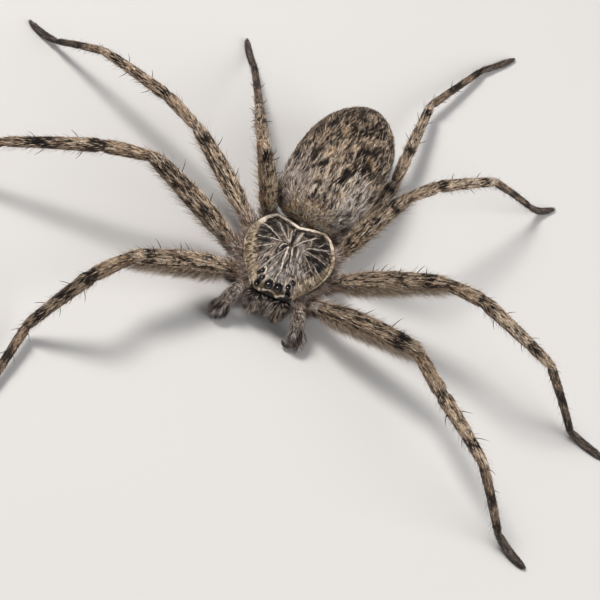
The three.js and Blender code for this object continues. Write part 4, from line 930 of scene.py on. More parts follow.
SHIELD_DARK = [
    ([(-4.85, 3.97), (-4.55, 4.44), (-4.17, 5.04)], 0.192, 0.95), ([(-4.05, 5.07), (-3.5, 5.58), (-2.78, 5.19), (-2.36, 4.89)], 0.151, 0.95),
    ([(-2.3, 4.47), (-1.65, 4.73)], 0.219, 1), ([(-1.17, 4), (-0.64, 4.57)], 0.315, 0.95), ([(-3.76, 3.95), (-3.04, 3.05), (-2.33, 2.1)], 0.384, 0.6),
    ([(-1.89, 3.51), (-1.49, 2.72), (-1.29, 2.17)], 0.164, 0.7), ([(-4.95, 3.15), (-4.44, 2.83), (-3.71, 2.18)], 0.205, 0.85),
    ([(-3.62, 2.07), (-2.88, 1.46), (-2.23, 1)], 0.192, 0.95), ([(-4.49, 2.04), (-3.86, 1.48)], 0.26, 0.6), ([(-5.21, 1.48), (-4.95, 0.71)], 0.164, 0.85),
    ([(-5.04, -0), (-4.81, -0.39)], 0.151, 0.95), ([(-4.43, 0.14), (-3.73, 0.06), (-2.93, -0.05)], 0.288, 0.8), ([(-3.68, 0.33), (-2.92, 0.13)], 0.11, 0.6),
    ([(-4.5, -1.29), (-3.84, -1.29)], 0.151, 0.9), ([(-4.27, -1.78), (-3.93, -1.89)], 0.137, 0.8), ([(-0.56, 0.18), (-0.94, -0.28), (-1.17, -0.97)], 0.178, 0.9),
    ([(-1.25, 0.42), (-0.73, 0.39)], 0.082, 0.8), ([(-1.51, 0.77), (-1.44, 0.72)], 0.11, 0.6), ([(-2.38, -2.4), (-2.27, -2.48)], 0.164, 0.85),
    ([(-1.57, -1.26), (-1.49, -1.29)], 0.123, 0.7), ([(-2.84, -1.4), (-2.4, -0.96)], 0.082, 0.7), ([(-3.31, -1), (-2.67, -0.8)], 0.068, 0.7),
    ([(-0.59, -1.41), (-0.58, -1.98), (-0.5, -2.5)], 0.11, 0.75), ([(0.24, -0.92), (0.26, -1.67), (0.25, -2.39), (0.24, -3.17), (0.12, -3.58)], 0.116, 0.9),
    ([(0.47, 0.18), (0.76, -0.37), (0.93, -1.03)], 0.116, 0.95), ([(0.17, 4.06), (0.47, 5.2)], 0.178, 1),
    ([(0.86, 4.1), (1.3, 3.1), (1.78, 3.54), (2.17, 4.04)], 0.247, 1), ([(1.23, 1.55), (1.73, 2.08)], 0.096, 0.7),
    ([(2.73, 2.97), (3.36, 3.97), (3.63, 4.88)], 0.37, 0.75), ([(3.04, 4.95), (3.61, 4.99), (4.1, 4.72)], 0.137, 0.95), ([(4.08, 4.13), (4.4, 3.59)], 0.205, 0.9),
    ([(1.83, 0.77), (2.2, 0.81)], 0.096, 0.8), ([(2.65, 0.87), (3.32, 1.3), (4.09, 2.09), (4.75, 2.77)], 0.247, 0.95),
    ([(2.57, -0.26), (3.08, -0.14), (3.76, 0.04)], 0.247, 0.85), ([(4.63, 1.51), (4.75, 2.22)], 0.192, 0.8),
    ([(4.51, -0.62), (4.62, 0.12), (4.95, 0.9)], 0.329, 0.9), ([(2.59, -0.92), (3.02, -1.29)], 0.116, 0.9), ([(2.07, -1.57), (2.16, -2.31)], 0.116, 0.75),
    ([(3.94, -2.26), (3.85, -1.78)], 0.205, 0.95), ([(5.46, 0.28), (5.53, 0.32)], 0.123, 0.85), ([(-1.82, -3.14), (-1.69, -3.3)], 0.096, 0.8),
    ([(0.36, -4.84), (0.46, -4.93)], 0.082, 0.6), ([(-0.42, -4.43), (-0.53, -4.79)], 0.068, 0.6), ([(-3.88, -3.03), (-3.57, -3.06)], 0.096, 0.7),
    ([(-5.78, 0.31), (-5.7, 0.03)], 0.096, 0.8), ([(-5.65, -0.94), (-5.52, -1.32)], 0.082, 0.6), ([(1.51, -1.38), (1.96, -1.81)], 0.096, 0.5),
    ([(-3.11, -2.09), (-3.15, -2.68)], 0.068, 0.6), ([(-1.32, -3.81), (-1.27, -4.27)], 0.068, 0.4), ([(0.74, -3.46), (0.87, -4.11)], 0.068, 0.45),
    ([(1.68, -3.6), (1.71, -4.03)], 0.068, 0.5), ([(3.18, -3.18), (3.58, -3.25)], 0.082, 0.5), ([(2.79, -4.19), (3.05, -3.75)], 0.068, 0.4),
]
SHIELD_GREYS = [
    ([(-1.18, -3.97), (-0.79, -4.23)], 0.329, 0.8), ([(0.47, -4), (0.8, -5.05)], 0.356, 0.8), ([(0.62, 1.22), (1.42, 0.95), (1.44, 0.12)], 0.356, 0.7),
    ([(1.1, -0.38), (1.48, -0.97)], 0.301, 0.6), ([(1.63, -2.28), (2.72, -2.75)], 0.356, 0.5), ([(-2.49, -1.81), (-1.96, -1.84)], 0.247, 0.6),
    ([(-2.82, -3.19), (-2.23, -3.36)], 0.219, 0.4),
]
SHIELD_SLIT = [
    ([(-0.18, 0.83), (-0.13, 1.42), (-0.12, 1.98), (-0.14, 2.34)], 0.171, 1), ([(-0.14, 2.34), (-0.11, 3.15), (-0.12, 4.18)], 0.123, 0.8),
]

PIT = (-.12, .82)


def shield_polar(x, y):
    """Angle from straight ahead in degrees, left positive, and distance, both from the pit in the middle."""
    dx, dy = x - PIT[0], y - PIT[1]
    return np.degrees(np.arctan2(dx, -dy)), np.hypot(dx, dy)


def edge_distance(x, y):
    r, ang = np.hypot(x - lean(y), y - .6), np.arctan2(y - .6, x - lean(y))
    return np.maximum(0, reach(ang) - r)


def shield_marks(x, y):
    x, y = np.asarray(x, float), np.asarray(y, float)
    Q = np.stack([x.ravel(), y.ravel()], -1)
    light = strokes(Q, [(p, w * .92, f) for p, w, f in SHIELD_LIGHT], 701, .65, .06)
    light = light * (.72 + .4 * smooth(noise(Q[:, 0] / .3, Q[:, 1] / .3, 0 * Q[:, 0], 709), .25, .6)).clip(0, 1)
    dark = strokes(Q, SHIELD_DARK, 703, .5, .12)
    beside = strokes(Q, [(p, w * 2.6, .75 * f) for p, w, f in SHIELD_LIGHT if f > .6], 701, .4, .05)
    grey = strokes(Q, SHIELD_GREYS, 705, .7, .15)
    slit = strokes(Q, SHIELD_SLIT, 707, .5, .02)
    return [a.reshape(x.shape) for a in (light, dark, beside * (1 - light), grey, slit)]


def wedge_field(beta, r, e, n1, n2):
    """Black brown fields between the rays, against the pale border at the rear and sides."""
    ab = np.abs(beta)
    band = np.interp(beta, BAND_ANGLES, BAND_WIDTHS)
    inner = np.interp(beta, [-180, -165, -150, -125, -104, -80, -60, -40, 40, 60, 80, 104, 125, 150, 165, 180],
                      [2.9, 2.7, 3.1, 3.0, 2.2, 2.3, 3.6, 4.0, 3.8, 2.4, 2.2, 2.4, 2.7, 2.5, 2.6, 2.9])
    strength = np.interp(beta, [-180, -128, -100, -80, -62, -46, -30, 0, 34, 48, 66, 90, 180],
                         [1.0, 1.0, 1.0, .92, .75, .35, .0, 0, .0, .5, .95, 1.0, 1.0])
    wedge = smooth(r, inner - .5 + 1.3 * (n2 - .5), inner + .5 + 1.3 * (n2 - .5)) * smooth(e, band - .04, band + .12)
    holes = smooth(n1 + .25 * (n2 - .5), .54, .64)
    return wedge * strength * (1 - .55 * holes), band


BAND_ANGLES = [-180, -150, -130, -112, -90, -60, -30, -14, 14, 30, 48, 68, 90, 112, 126, 150, 180]
BAND_WIDTHS = [.52, .52, .6, 1.2, 1.35, 1.45, 1.2, .4, .4, 1.5, 1.45, 1.0, .72, .62, .55, .5, .52]


def shield_colour(x, y, z):
    beta, r = shield_polar(x, y)
    ab = np.abs(beta)
    e = edge_distance(x, y)
    light, dark, beside, grey, slit = shield_marks(x, y)
    n1 = fbm(x / .38, y / .38, 0 * x, 721)
    n2 = fbm(x / 1.1, y / 1.1, 0 * x, 727)
    arc = np.radians(beta) * np.minimum(r, 3.2)
    hair = noise(r * 1.3, arc / .12, 0 * r + 4, 733)
    hair2 = noise(r * 2.0, arc / .075, 0 * r + 9, 735)
    fleck = smooth(noise(r * 1.7, arc / .085, 0 * r + 2, 737), .66, .8)
    white = smooth(noise(r * 1.2 + 3, arc / .06, 0 * r + 6, 739), .72, .86)
    fine = .55 * hair + .45 * hair2
    # ground: grey brown, finely streaked from the middle outwards
    ground = mix(rgb(54, 46, 43), rgb(146, 130, 117), smooth(fine, .34, .7))
    ground = mix(ground, rgb(140, 112, 92), .35 * smooth(n1, .52, .66))
    head = (1 - smooth(ab, 24, 42)) * smooth(r, 1.2, 2.4)
    headc = mix(rgb(68, 61, 59), rgb(140, 131, 124), smooth(fine, .34, .7))
    headc = mix(headc, rgb(62, 55, 52), .6 * smooth(n1, .5, .6))
    headc = mix(headc, rgb(150, 130, 106), .45 * smooth(n2, .5, .62))
    ground = mix(ground, headc, .85 * head)
    wedge, band = wedge_field(beta, r, e, n1, n2)
    deep = mix(rgb(26, 22, 21), rgb(68, 57, 46), smooth(n1, .49, .64))
    col = mix(ground, deep, np.clip(wedge * 1.1, 0, 1))
    col = mix(col, rgb(40, 34, 32), .75 * smooth(noise(x / .2, y / .34, 0 * x, 743), .66, .8))
    col = mix(col, rgb(44, 38, 36), .8 * beside)
    col = mix(col, rgb(19, 16, 16), np.clip(1.3 * dark, 0, 1) * (1 - .25 * smooth(hair2, .68, .82)))
    col = mix(col, rgb(156, 152, 152), .7 * grey * (.5 + .5 * smooth(fine, .35, .6)))
    col = mix(col, rgb(196, 176, 148), .5 * fleck * (1 - .8 * dark))
    col = mix(col, rgb(214, 204, 196), .6 * white * (1 - .8 * dark))
    col = mix(col, rgb(34, 31, 44), .97 * slit)
    pit = np.exp(-((x - PIT[0] + .05) / .24) ** 2 - ((y - PIT[1] + .1) / .26) ** 2)
    col = mix(col, rgb(58, 38, 28), .9 * pit)
    col = mix(col, rgb(228, 215, 198), light * smooth(e, band * .5, band * .95 + .01))
    # border band
    ragged = e + .95 * (fbm(x / .5, y / .5, 0 * x, 745) - .5) + .4 * (hair2 - .5)
    inband = 1 - smooth(ragged, band - .12, band + .08)
    rear = smooth(ab, 112, 132)
    bandc = mix(rgb(112, 95, 78), rgb(198, 180, 154), smooth(.4 * n1 + .6 * hair2, .36, .6))
    bandc = mix(bandc, rgb(152, 124, 96), .3 * smooth(n2, .55, .68))
    bandc = mix(bandc, rgb(58, 46, 37), .9 * smooth(noise(x / .24, y / .16, 0 * x, 741), .66, .76) * (1 - .6 * rear))
    bandc = mix(bandc, rgb(120, 104, 86), .5 * smooth(noise(x / .5, y / .5, 0 * x, 742), .5, .75) * (1 - rear))
    bandc = mix(bandc, mix(rgb(240, 228, 212), rgb(204, 184, 158), smooth(n1, .5, .64)), .92 * rear)
    bandc = mix(bandc, headc, .75 * (1 - smooth(ab, 16, 30)))
    col = mix(col, bandc, inband * (1 - .8 * smooth(e, .3, 1.2) * (beta > 12) * (beta < 30)))
    rimline = 1 - smooth(e, .03, .11)
    col = mix(col, mix(CREAM, STRAW * .8, smooth(noise(x / .3, y / .3, 0 * x, 747), .4, .7)), .45 * rimline * (1 - .8 * rear))
    scallop = .03 + .12 * noise(x / .4, y / .4, 0 * x, 749)
    col = mix(col, rgb(62, 48, 38), .9 * rear * (1 - smooth(e, scallop * .6, scallop)))
    # face: dark sockets round the eyes, pale brows behind them
    for name, (c0, er) in EYE_CENTRES.items():
        d = np.hypot(x - c0[0], y - c0[1]) - er
        col = mix(col, rgb(206, 186, 154), .6 * smooth(n1, .42, .56) * np.exp(-((d - .16) / .08) ** 2) * smooth(y - c0[1], -.15, .1) * (0 if "anterior_lateral" in name else 1))
        col = mix(col, BLACK, 1 - smooth(d, .0, .09))
    for sgn in (-1, 1):
        ax = (x - lean(y)) * sgn
        # painted shadow: a black patch round each front side eye, for the hollow it sits in
        orbit_shadow = np.exp(-((ax - 2.15) / (.34 if sgn < 0 else .46)) ** 2 - ((y + 5.84) / (.22 if sgn < 0 else .32)) ** 2)
        col = mix(col, BLACK, .95 * smooth(orbit_shadow, .3, .55))
        if sgn < 0:      # wide dark socket of the right rear side eye, with its pale arc
            sock = np.hypot((ax - 2.42) / .42, (y + 4.62) / .52)
            col = mix(col, BLACK, .9 * (1 - smooth(sock, .75, 1.0)))
            col = mix(col, CREAM, .8 * np.exp(-((np.hypot(ax - 2.2, y + 4.45) - .52) / .07) ** 2) * (ax < 2.15))
    # a dark olive band under the front eyes: partly its own colour, partly painted shade
    olive = smooth(-y, 5.6, 5.95) * (np.abs(x - lean(y)) < 2.5)
    col = mix(col, mix(rgb(52, 42, 30), rgb(96, 80, 58), smooth(n1, .45, .6)), .85 * olive)
    # the face's front edge: a dark band along the edge, painted shadow, with a thin wavy pale rim line on it
    wave = .2 + .42 * (noise(x / .62, 0 * x, 0 * x, 753) - .5)
    facefront = smooth(-y, 5.2, 5.6) * (np.abs(x - lean(y)) < 2.9)
    col = mix(col, rgb(30, 24, 19), .95 * (1 - smooth(e, wave - .1, wave)) * facefront)
    thick = .02 + .04 * noise(x / .26, 0 * x + 3, 0 * x, 755)
    col = mix(col, mix(rgb(214, 202, 184), rgb(134, 114, 90), smooth(noise(x / .3, 0 * x + 3, 0 * x, 755), .45, .6)), .92 * (1 - smooth(np.abs(e - wave), thick, thick + .06)) * facefront)
    return col


NA, NR = 420, 112
ang = np.linspace(-np.pi, np.pi, NA, endpoint=False)
rho = 1 - (1 - np.linspace(0, 1, NR)) ** 1.15
rho[-1] = 1.0
R = reach(ang)
X = np.outer(rho, R * np.cos(ang))
Y = .6 + np.outer(rho, R * np.sin(ang))
Z = shield_height(X, Y)
Xl = X + lean(Y)


def shield_relief(x, y):
    """Small forms on the shield: raised rays, the slit and the rolled rim (x already leaned)."""
    light, dark, beside, grey, slit = shield_marks(x, y)
    e = edge_distance(x, y)
    beta, r = shield_polar(x, y)
    front_ = smooth(-y, 4.8, 5.6)
    d = .05 * light - .035 * dark - .02 * beside
    d = d + (.035 - .02 * front_) * np.exp(-((e - .1) / .09) ** 2)
    d = d - .2 * slit
    d = d - .16 * front_ * (1 - smooth(e, 0, .5))
    d = d + .02 * (fbm(x / .35, y / .35, 0 * x, 751) - .5) * 2 + .07 * (fbm(x / 1.3, y / 1.3, 0 * x, 757) - .5)
    return d


Z = Z + shield_relief(Xl, Y) * smooth(np.repeat(1 - rho[:, None], NA, 1), -.001, .02)
for c0, er in EYE_CENTRES.values():
    d = np.hypot(Xl - c0[0], Y - c0[1])
    Z = Z + .07 * np.exp(-((d - er * 1.15) / .1) ** 2) + .06 * np.exp(-((d - er * 1.6) / .3) ** 2)
    Z = np.where(d < er * .98, np.minimum(Z, c0[2] - .15 - .2 * (1 - d / er)), Z)
top = np.stack([Xl, Y, Z], -1).reshape(-1, 3)
wall = []
for k, (zz, inn) in enumerate(((6.24, 1.0), (6.12, 1.006), (5.98, 1.0), (5.88, .985), (5.85, .95), (5.85, .6))):
    wall.append(np.stack([R * np.cos(ang) * inn + lean(.6 + R * np.sin(ang)), .6 + R * np.sin(ang) * inn, np.full(NA, zz)], -1))
verts = np.concatenate([top[NA:], np.concatenate(wall), [[float(lean(.6)), .6, float(shield_height(0, .6))], [0, .6, 5.85]]])
rows = NR - 1 + len(wall)
i, j = np.meshgrid(np.arange(rows - 1), np.arange(NA), indexing="ij")
p, q = (i * NA + j).ravel(), (i * NA + (j + 1) % NA).ravel()
tris = np.stack([p, p + NA, q + NA, p, q + NA, q], -1).reshape(-1, 3)
j = np.arange(NA)
j1 = (j + 1) % NA
cap0 = np.stack([np.full(NA, rows * NA), j, j1], -1)
cap1 = np.stack([np.full(NA, rows * NA + 1), (rows - 1) * NA + j1, (rows - 1) * NA + j], -1)
tris = np.concatenate([tris, cap0, cap1])
a_, b_, c_ = (verts[tris[:, k]] for k in range(3))
if np.einsum("ij,ij->i", a_, np.cross(b_, c_)).sum() < 0:
    tris = tris[:, ::-1]
sh_v, sh_f = verts, tris
sh_n = normals_of(sh_v, sh_f)
shield_col = shield_colour(sh_v[:, 0], sh_v[:, 1], sh_v[:, 2])
# the shield's side wall below the rim: tan to umber, turning black towards the front as painted shadow of the face's
# edge over the jaws
under = (sh_v[:, 2] < 6.2)
shield_col[under] = mix(mix(TAN * .7, UMBER, fbm(sh_v[under, 0] / .4, sh_v[under, 1] / .4, sh_v[under, 2] / .2, 761)), BLACK, .9 * smooth(-sh_v[under, 1], 4.4, 5.2))
shield = new_object("head_shield", metres(sh_v), sh_f)
paint(shield, to_linear(shield_col) * .9)

# ------------------------------------------------------------------ eyes, fangs, claws, spines
eye_objects = []
for name, (c0, er) in EYE_CENTRES.items():
    s = Soup()
    lat = np.linspace(0, np.pi, 20)[1:-1]
    a = np.linspace(0, 2 * np.pi, 32, endpoint=False)
    s.rings([c0 + er * np.stack([np.sin(t) * np.cos(a), np.sin(t) * np.sin(a), np.full(32, math.cos(t))], -1) for t in lat],
            c0 + V(0, 0, er), c0 - V(0, 0, er))
    v, f = s.done()
    eye_objects.append(new_object(name + "_lens", metres(v), f))


def horn(soup, pts, radii, sides=8):
    pts = np.asarray(pts, float)
    t = unit(np.gradient(pts, axis=0))
    ref = V(0, 0, 1) if abs(t[0][2]) < .9 else V(1, 0, 0)
    a = np.linspace(0, 2 * np.pi, sides, endpoint=False)
    rings = []
    for p, d, r in zip(pts[:-1], t[:-1], radii[:-1]):
        e1 = unit(np.cross(d, ref))
        e2 = np.cross(e1, d)
        rings.append(p + np.outer(np.cos(a) * r, e1) + np.outer(np.sin(a) * r, e2))
    soup.rings(rings, pts[0] - t[0] * radii[0] * .5, pts[-1])


def bezier(p0, p1, p2, n):
    t = np.linspace(0, 1, n)[:, None]
    return (1 - t) ** 2 * p0 + 2 * t * (1 - t) * p1 + t * t * p2


fangs = Soup()
for sgn in (-1, 1):
    x0 = -.15 + sgn * 1.6
    pts = bezier(V(x0, -6.3, 2.15), V(x0 - .1 * sgn, -6.1, .6), V(x0 - 1.05 * sgn, -5.25, 1.2), 12)
    horn(fangs, pts, np.interp(np.linspace(0, 1, 12), [0, .15, .5, 1], [.36, .34, .25, .02]), 14)
v, f = fangs.done()
fang_ob = new_object("fangs_smooth", metres(v), f)

claws = Soup()
SEG = {(g.owner, g.kind): g for g in SEGMENTS}
for owner in LEGS:
    g = SEG[(owner, "tarsus")]
    d = unit(V(g.d[0], g.d[1], 0))
    side = V(d[1], -d[0], 0)
    tip = g.centre(1.0)
    for k in (-1, 1):
        p0 = tip + side * .13 * k * g.scale - d * .1 + V(0, 0, .12)
        p1 = p0 + d * .5 + V(0, 0, .16)
        p2 = p0 + d * .72 - V(0, 0, .3)
        horn(claws, bezier(p0, p1, p2, 7), np.interp(np.linspace(0, 1, 7), [0, .5, 1], [.085, .06, .01]) * 1.0, 6)
# claw at the tip of each palp: the left one is turned in and shows
horn(claws, bezier(V(5.0, -8.95, 1.0), V(4.05, -9.55, .55), V(3.5, -8.7, 1.2), 9), np.interp(np.linspace(0, 1, 9), [0, .4, .8, 1], [.36, .32, .24, .08]), 8)
horn(claws, bezier(V(-5.9, -8.5, .9), V(-5.9, -9.3, .8), V(-5.75, -9.25, .3), 7), np.interp(np.linspace(0, 1, 7), [0, .5, 1], [.12, .09, .02]), 6)
v, f = claws.done()
v[:, 2] = np.maximum(v[:, 2], .02)
claw_ob = new_object("claws", metres(v), f)

rng = np.random.default_rng(20)
spines = Soup()
spine_cols = []


def spine(g, s, phi, length, lift=50, turn=0.0, radius=.075):
    a, b = g.radii(s)
    n = unit(g.side * math.cos(phi) / a + g.up * math.sin(phi) / b)
    base = g.centre(s) + g.side * math.cos(phi) * (a - g.depth) + g.up * math.sin(phi) * (b - g.depth) - n * .05
    across = np.cross(n, g.d)
    flow = unit(g.d * math.cos(turn) + across * math.sin(turn))
    la = math.radians(lift)
    d0 = n * math.sin(la + .2) + flow * math.cos(la + .2)
    d1 = n * math.sin(la - .25) + flow * math.cos(la - .25)
    pts = bezier(base, base + d0 * length * .5, base + d0 * length * .5 + d1 * length * .5, 6)
    pts[:, 2] = np.maximum(pts[:, 2], .1)
    before = spines.n
    horn(spines, pts, np.array([1, 1.05, .9, .72, .45, .1]) * radius, 5)
    spine_cols.append((before, spines.n, np.linspace(0, 1, 5)))


for owner in LEGS:
    sc = THICK[int(owner[3])]
    fe, pa, ti, mt = (SEG[(owner, k)] for k in ("femur", "patella", "tibia", "metatarsus"))
    for s, ph in ((.32, 100), (.6, 84), (.82, 96), (.4, 32), (.72, 30), (.42, 150), (.74, 150)):
        spine(fe, s + rng.uniform(-.04, .04), math.radians(ph + rng.uniform(-8, 8)), rng.uniform(1.7, 2.4) * sc, rng.uniform(48, 68), rng.uniform(-.35, .35), .058)
    for s, ph in ((.28, 24), (.66, 20), (.28, 156), (.66, 160), (.22, -54), (.22, -126), (.58, -56), (.58, -124)):
        spine(ti, s + rng.uniform(-.03, .03), math.radians(ph + rng.uniform(-8, 8)), rng.uniform(1.7, 2.3) * sc, rng.uniform(32, 52), rng.uniform(-.3, .3), .052)
    for s, ph in ((.1, 20), (.1, 160), (.42, 12), (.42, 168)):
        spine(mt, s + rng.uniform(-.02, .02), math.radians(ph + rng.uniform(-8, 8)), rng.uniform(1.3, 1.8) * sc, rng.uniform(28, 46), rng.uniform(-.25, .25), .045)
v, f = spines.done()
spine_ob = new_object("spines", metres(v), f)
sc_ = np.zeros((len(v), 3))
for a0, a1, _ in spine_cols:
    k = a1 - a0
    t = np.concatenate([np.repeat(np.linspace(0, 1, (k - 2) // 5), 5), [0, 1]])
    sc_[a0:a1] = mix(TAN * .8, BLACK * 1.1, smooth(t, 0.0, .3))
paint(spine_ob, to_linear(sc_))

# ------------------------------------------------------------------ coat
rng = np.random.default_rng(11)


def sample(v, f, nrm, weight, count):
    """Points spread over faces in proportion to area and weight."""
    a, b, c = v[f[:, 0]], v[f[:, 1]], v[f[:, 2]]
    area = np.linalg.norm(np.cross(b - a, c - a), axis=1) / 2 * weight
    cum = np.cumsum(area)
    # stratified picks keep the cover even
    pick = (np.arange(count) + rng.random(count)) / count * cum[-1]
    i = np.minimum(np.searchsorted(cum, pick), len(f) - 1)
    u, w = rng.random(count), rng.random(count)
    flip = u + w > 1
    u, w = np.where(flip, 1 - u, u), np.where(flip, 1 - w, w)
    P = a[i] + (b[i] - a[i]) * u[:, None] + (c[i] - a[i]) * w[:, None]
    N = unit(nrm[f[i, 0]] * (1 - u - w)[:, None] + nrm[f[i, 1]] * u[:, None] + nrm[f[i, 2]] * w[:, None])
    return P, N


def laid(N, flow, turn):
    """The lie of each tuft, square to the surface's normal."""
    flow = unit(flow - N * np.einsum("ij,ij->i", flow, N)[:, None])
    across = np.cross(N, flow)
    return flow * np.cos(turn)[:, None] + across * np.sin(turn)[:, None]


SEG_LENGTH = np.array([g.L for g in SEGMENTS] + [1.0] * 120)


def strand_colours(P, c, T, length, marks=body_colours):
    """Markings under the root, the middle and the tip of each tuft."""
    out = []
    for t in (.1, .5, .9):
        d = length * t
        Q, k = P + T * d[:, None], dict(c)
        k["U"] = c["U"] + d
        div = np.where(c["id"] < 100, SEG_LENGTH[np.clip(c["id"], 0, 200)], 21.24)
        k["s"] = np.clip(c["s"] + d / div, 0, 1)
        ab = c["id"] == ABDOMEN_ID
        rel = Q[ab] - AB_CENTRE
        k["U"][ab] = rel @ AB_AXIS
        k["y"], k["z"] = c["y"].copy(), c["z"].copy()
        k["y"][ab], k["z"][ab] = rel @ AB_SIDE, rel[:, 2]
        out.append(marks(Q, k))
    return out


def tufts(P, N, flow, length, width, lift, arch, tones, chart, steps=1, flat=(1.25, .8)):
    """Thin closed spindles: a point at the root, rings of three along the way, a point at the tip."""
    across = np.cross(N, flow)
    lift, L = lift[:, None], length[:, None]

    def at(t):
        # rises at `lift`, then arches over toward the surface
        rise = np.sin(lift) * t * L - arch[:, None] * np.sin(lift) * t * t * L
        return P - N * .05 + flow * (np.cos(lift) * t * L) + N * rise

    mids = [.38] if steps == 1 else [.28, .66]
    cols, verts = [tones[0]], [at(0.0)]
    spin = rng.random(len(P)) * 2 * np.pi
    for k, t in enumerate(mids):
        c = at(t)
        r = (width * (1.0 if k == 0 else .72) / 2)[:, None]
        e2 = unit(N * np.cos(lift) - flow * np.sin(lift))
        for q in range(3):
            a = (spin + q * 2 * np.pi / 3)[:, None]
            verts.append(c + across * np.cos(a) * r * flat[0] + e2 * np.sin(a) * r * flat[1])
            cols.append(tones[1])
    verts.append(at(1.0))
    cols.append(tones[2])
    k = len(verts)
    v = np.stack(verts, 1)
    v[..., 2] = np.maximum(v[..., 2], .012)
    col = np.stack(cols, 1)
    if steps == 1:
        f = [[0, 2, 1], [0, 3, 2], [0, 1, 3], [4, 1, 2], [4, 2, 3], [4, 3, 1]]
    else:
        f = [[0, 2, 1], [0, 3, 2], [0, 1, 3]]
        for q in range(3):
            q1 = (q + 1) % 3
            f += [[1 + q, 1 + q1, 4 + q1], [1 + q, 4 + q1, 4 + q]]
        f += [[7, 4, 5], [7, 5, 6], [7, 6, 4]]
    f = np.array(f)
    faces = (f[None] + (np.arange(len(P)) * k)[:, None, None]).reshape(-1, 3)
    offs = np.zeros((k, 2))
    offs[0] = (-.0015, 0)
    offs[-1] = (.0015, 0)
    for m in range(len(mids)):
        for q in range(3):
            offs[1 + 3 * m + q] = ((mids[m] - .5) * .003, (q - 1) * .0015)
    uv = chart[:, None, :] + offs[None]
    return v.reshape(-1, 3), faces, col.reshape(-1, 3), uv.reshape(-1, 2)


def coat(name, parts):
    """Joins tufts into one piece with its colours and its bake map."""
    vs, fs, cs, us, n = [], [], [], [], 0
    for v, f, c, u in parts:
        vs.append(v); fs.append(f + n); cs.append(c); us.append(u)
        n += len(v)
    v, f, c, u = (np.concatenate(a) for a in (vs, fs, cs, us))
    ob = new_object(name, metres(v), f)
    paint(ob, to_linear(c))
    lay = ob.data.uv_layers.new(name="OFBake")
    idx = np.empty(len(ob.data.loops), np.int32)
    ob.data.loops.foreach_get("vertex_index", idx)
    lay.data.foreach_set("uv", np.ascontiguousarray(np.clip(u[idx], 0, 1), np.float32).ravel())
    return ob


# length, width, lift (degrees), tip arch, spread of turn (degrees), tufts on a square millimetre
STYLE = {
    "coxa": (1.95, .05, 46, .35, 34, 64), "trochanter": (1.8, .05, 44, .35, 32, 64), "femur": (1.0, .055, 22, .35, 10, 50),
    "patella": (.85, .058, 20, .35, 11, 50), "tibia": (.85, .056, 19, .35, 11, 50), "metatarsus": (.65, .052, 18, .3, 10, 54),
    "tarsus": (.45, .046, 28, .2, 14, 74), "palp_femur": (.85, .046, 26, .3, 16, 70), "palp_tibia": (.42, .044, 20, .3, 10, 120),
    "palp_tarsus": (1.1, .038, 27, .15, 22, 170),
    ABDOMEN_ID: (.9, .052, 19, .35, 20, 66), TRUNK_ID: (1.7, .055, 40, .35, 26, 60), PEDICEL_ID: (.9, .06, 25, .3, 20, 40),
    SPIN_ID: (.6, .05, 22, .3, 14, 60), JAW_L: (.9, .042, 30, .25, 16, 110), JAW_R: (.9, .042, 30, .25, 16, 110),
}


def style_of(ident):
    return STYLE[SEGMENTS[ident].kind] if ident < 100 else STYLE[ident]


def owner_of(ident):
    if ident < 100:
        return "hips" if SEGMENTS[ident].kind in ("coxa", "trochanter") else SEGMENTS[ident].owner
    return {ABDOMEN_ID: "abdomen", SPIN_ID: "abdomen", TRUNK_ID: "hips", PEDICEL_ID: "hips"}.get(ident, "jaws")


face_id = cls["id"][sf[:, 0]]
fc = sv[sf].mean(1)
hidden = (fc[:, 2] > 5.35) & in_shield(fc[:, 0], fc[:, 1]) & (edge_distance(fc[:, 0], fc[:, 1]) > .25)
density = np.zeros(len(sf))
for ident in np.unique(face_id):
    density[face_id == ident] = style_of(int(ident))[5]
density[hidden] = 0

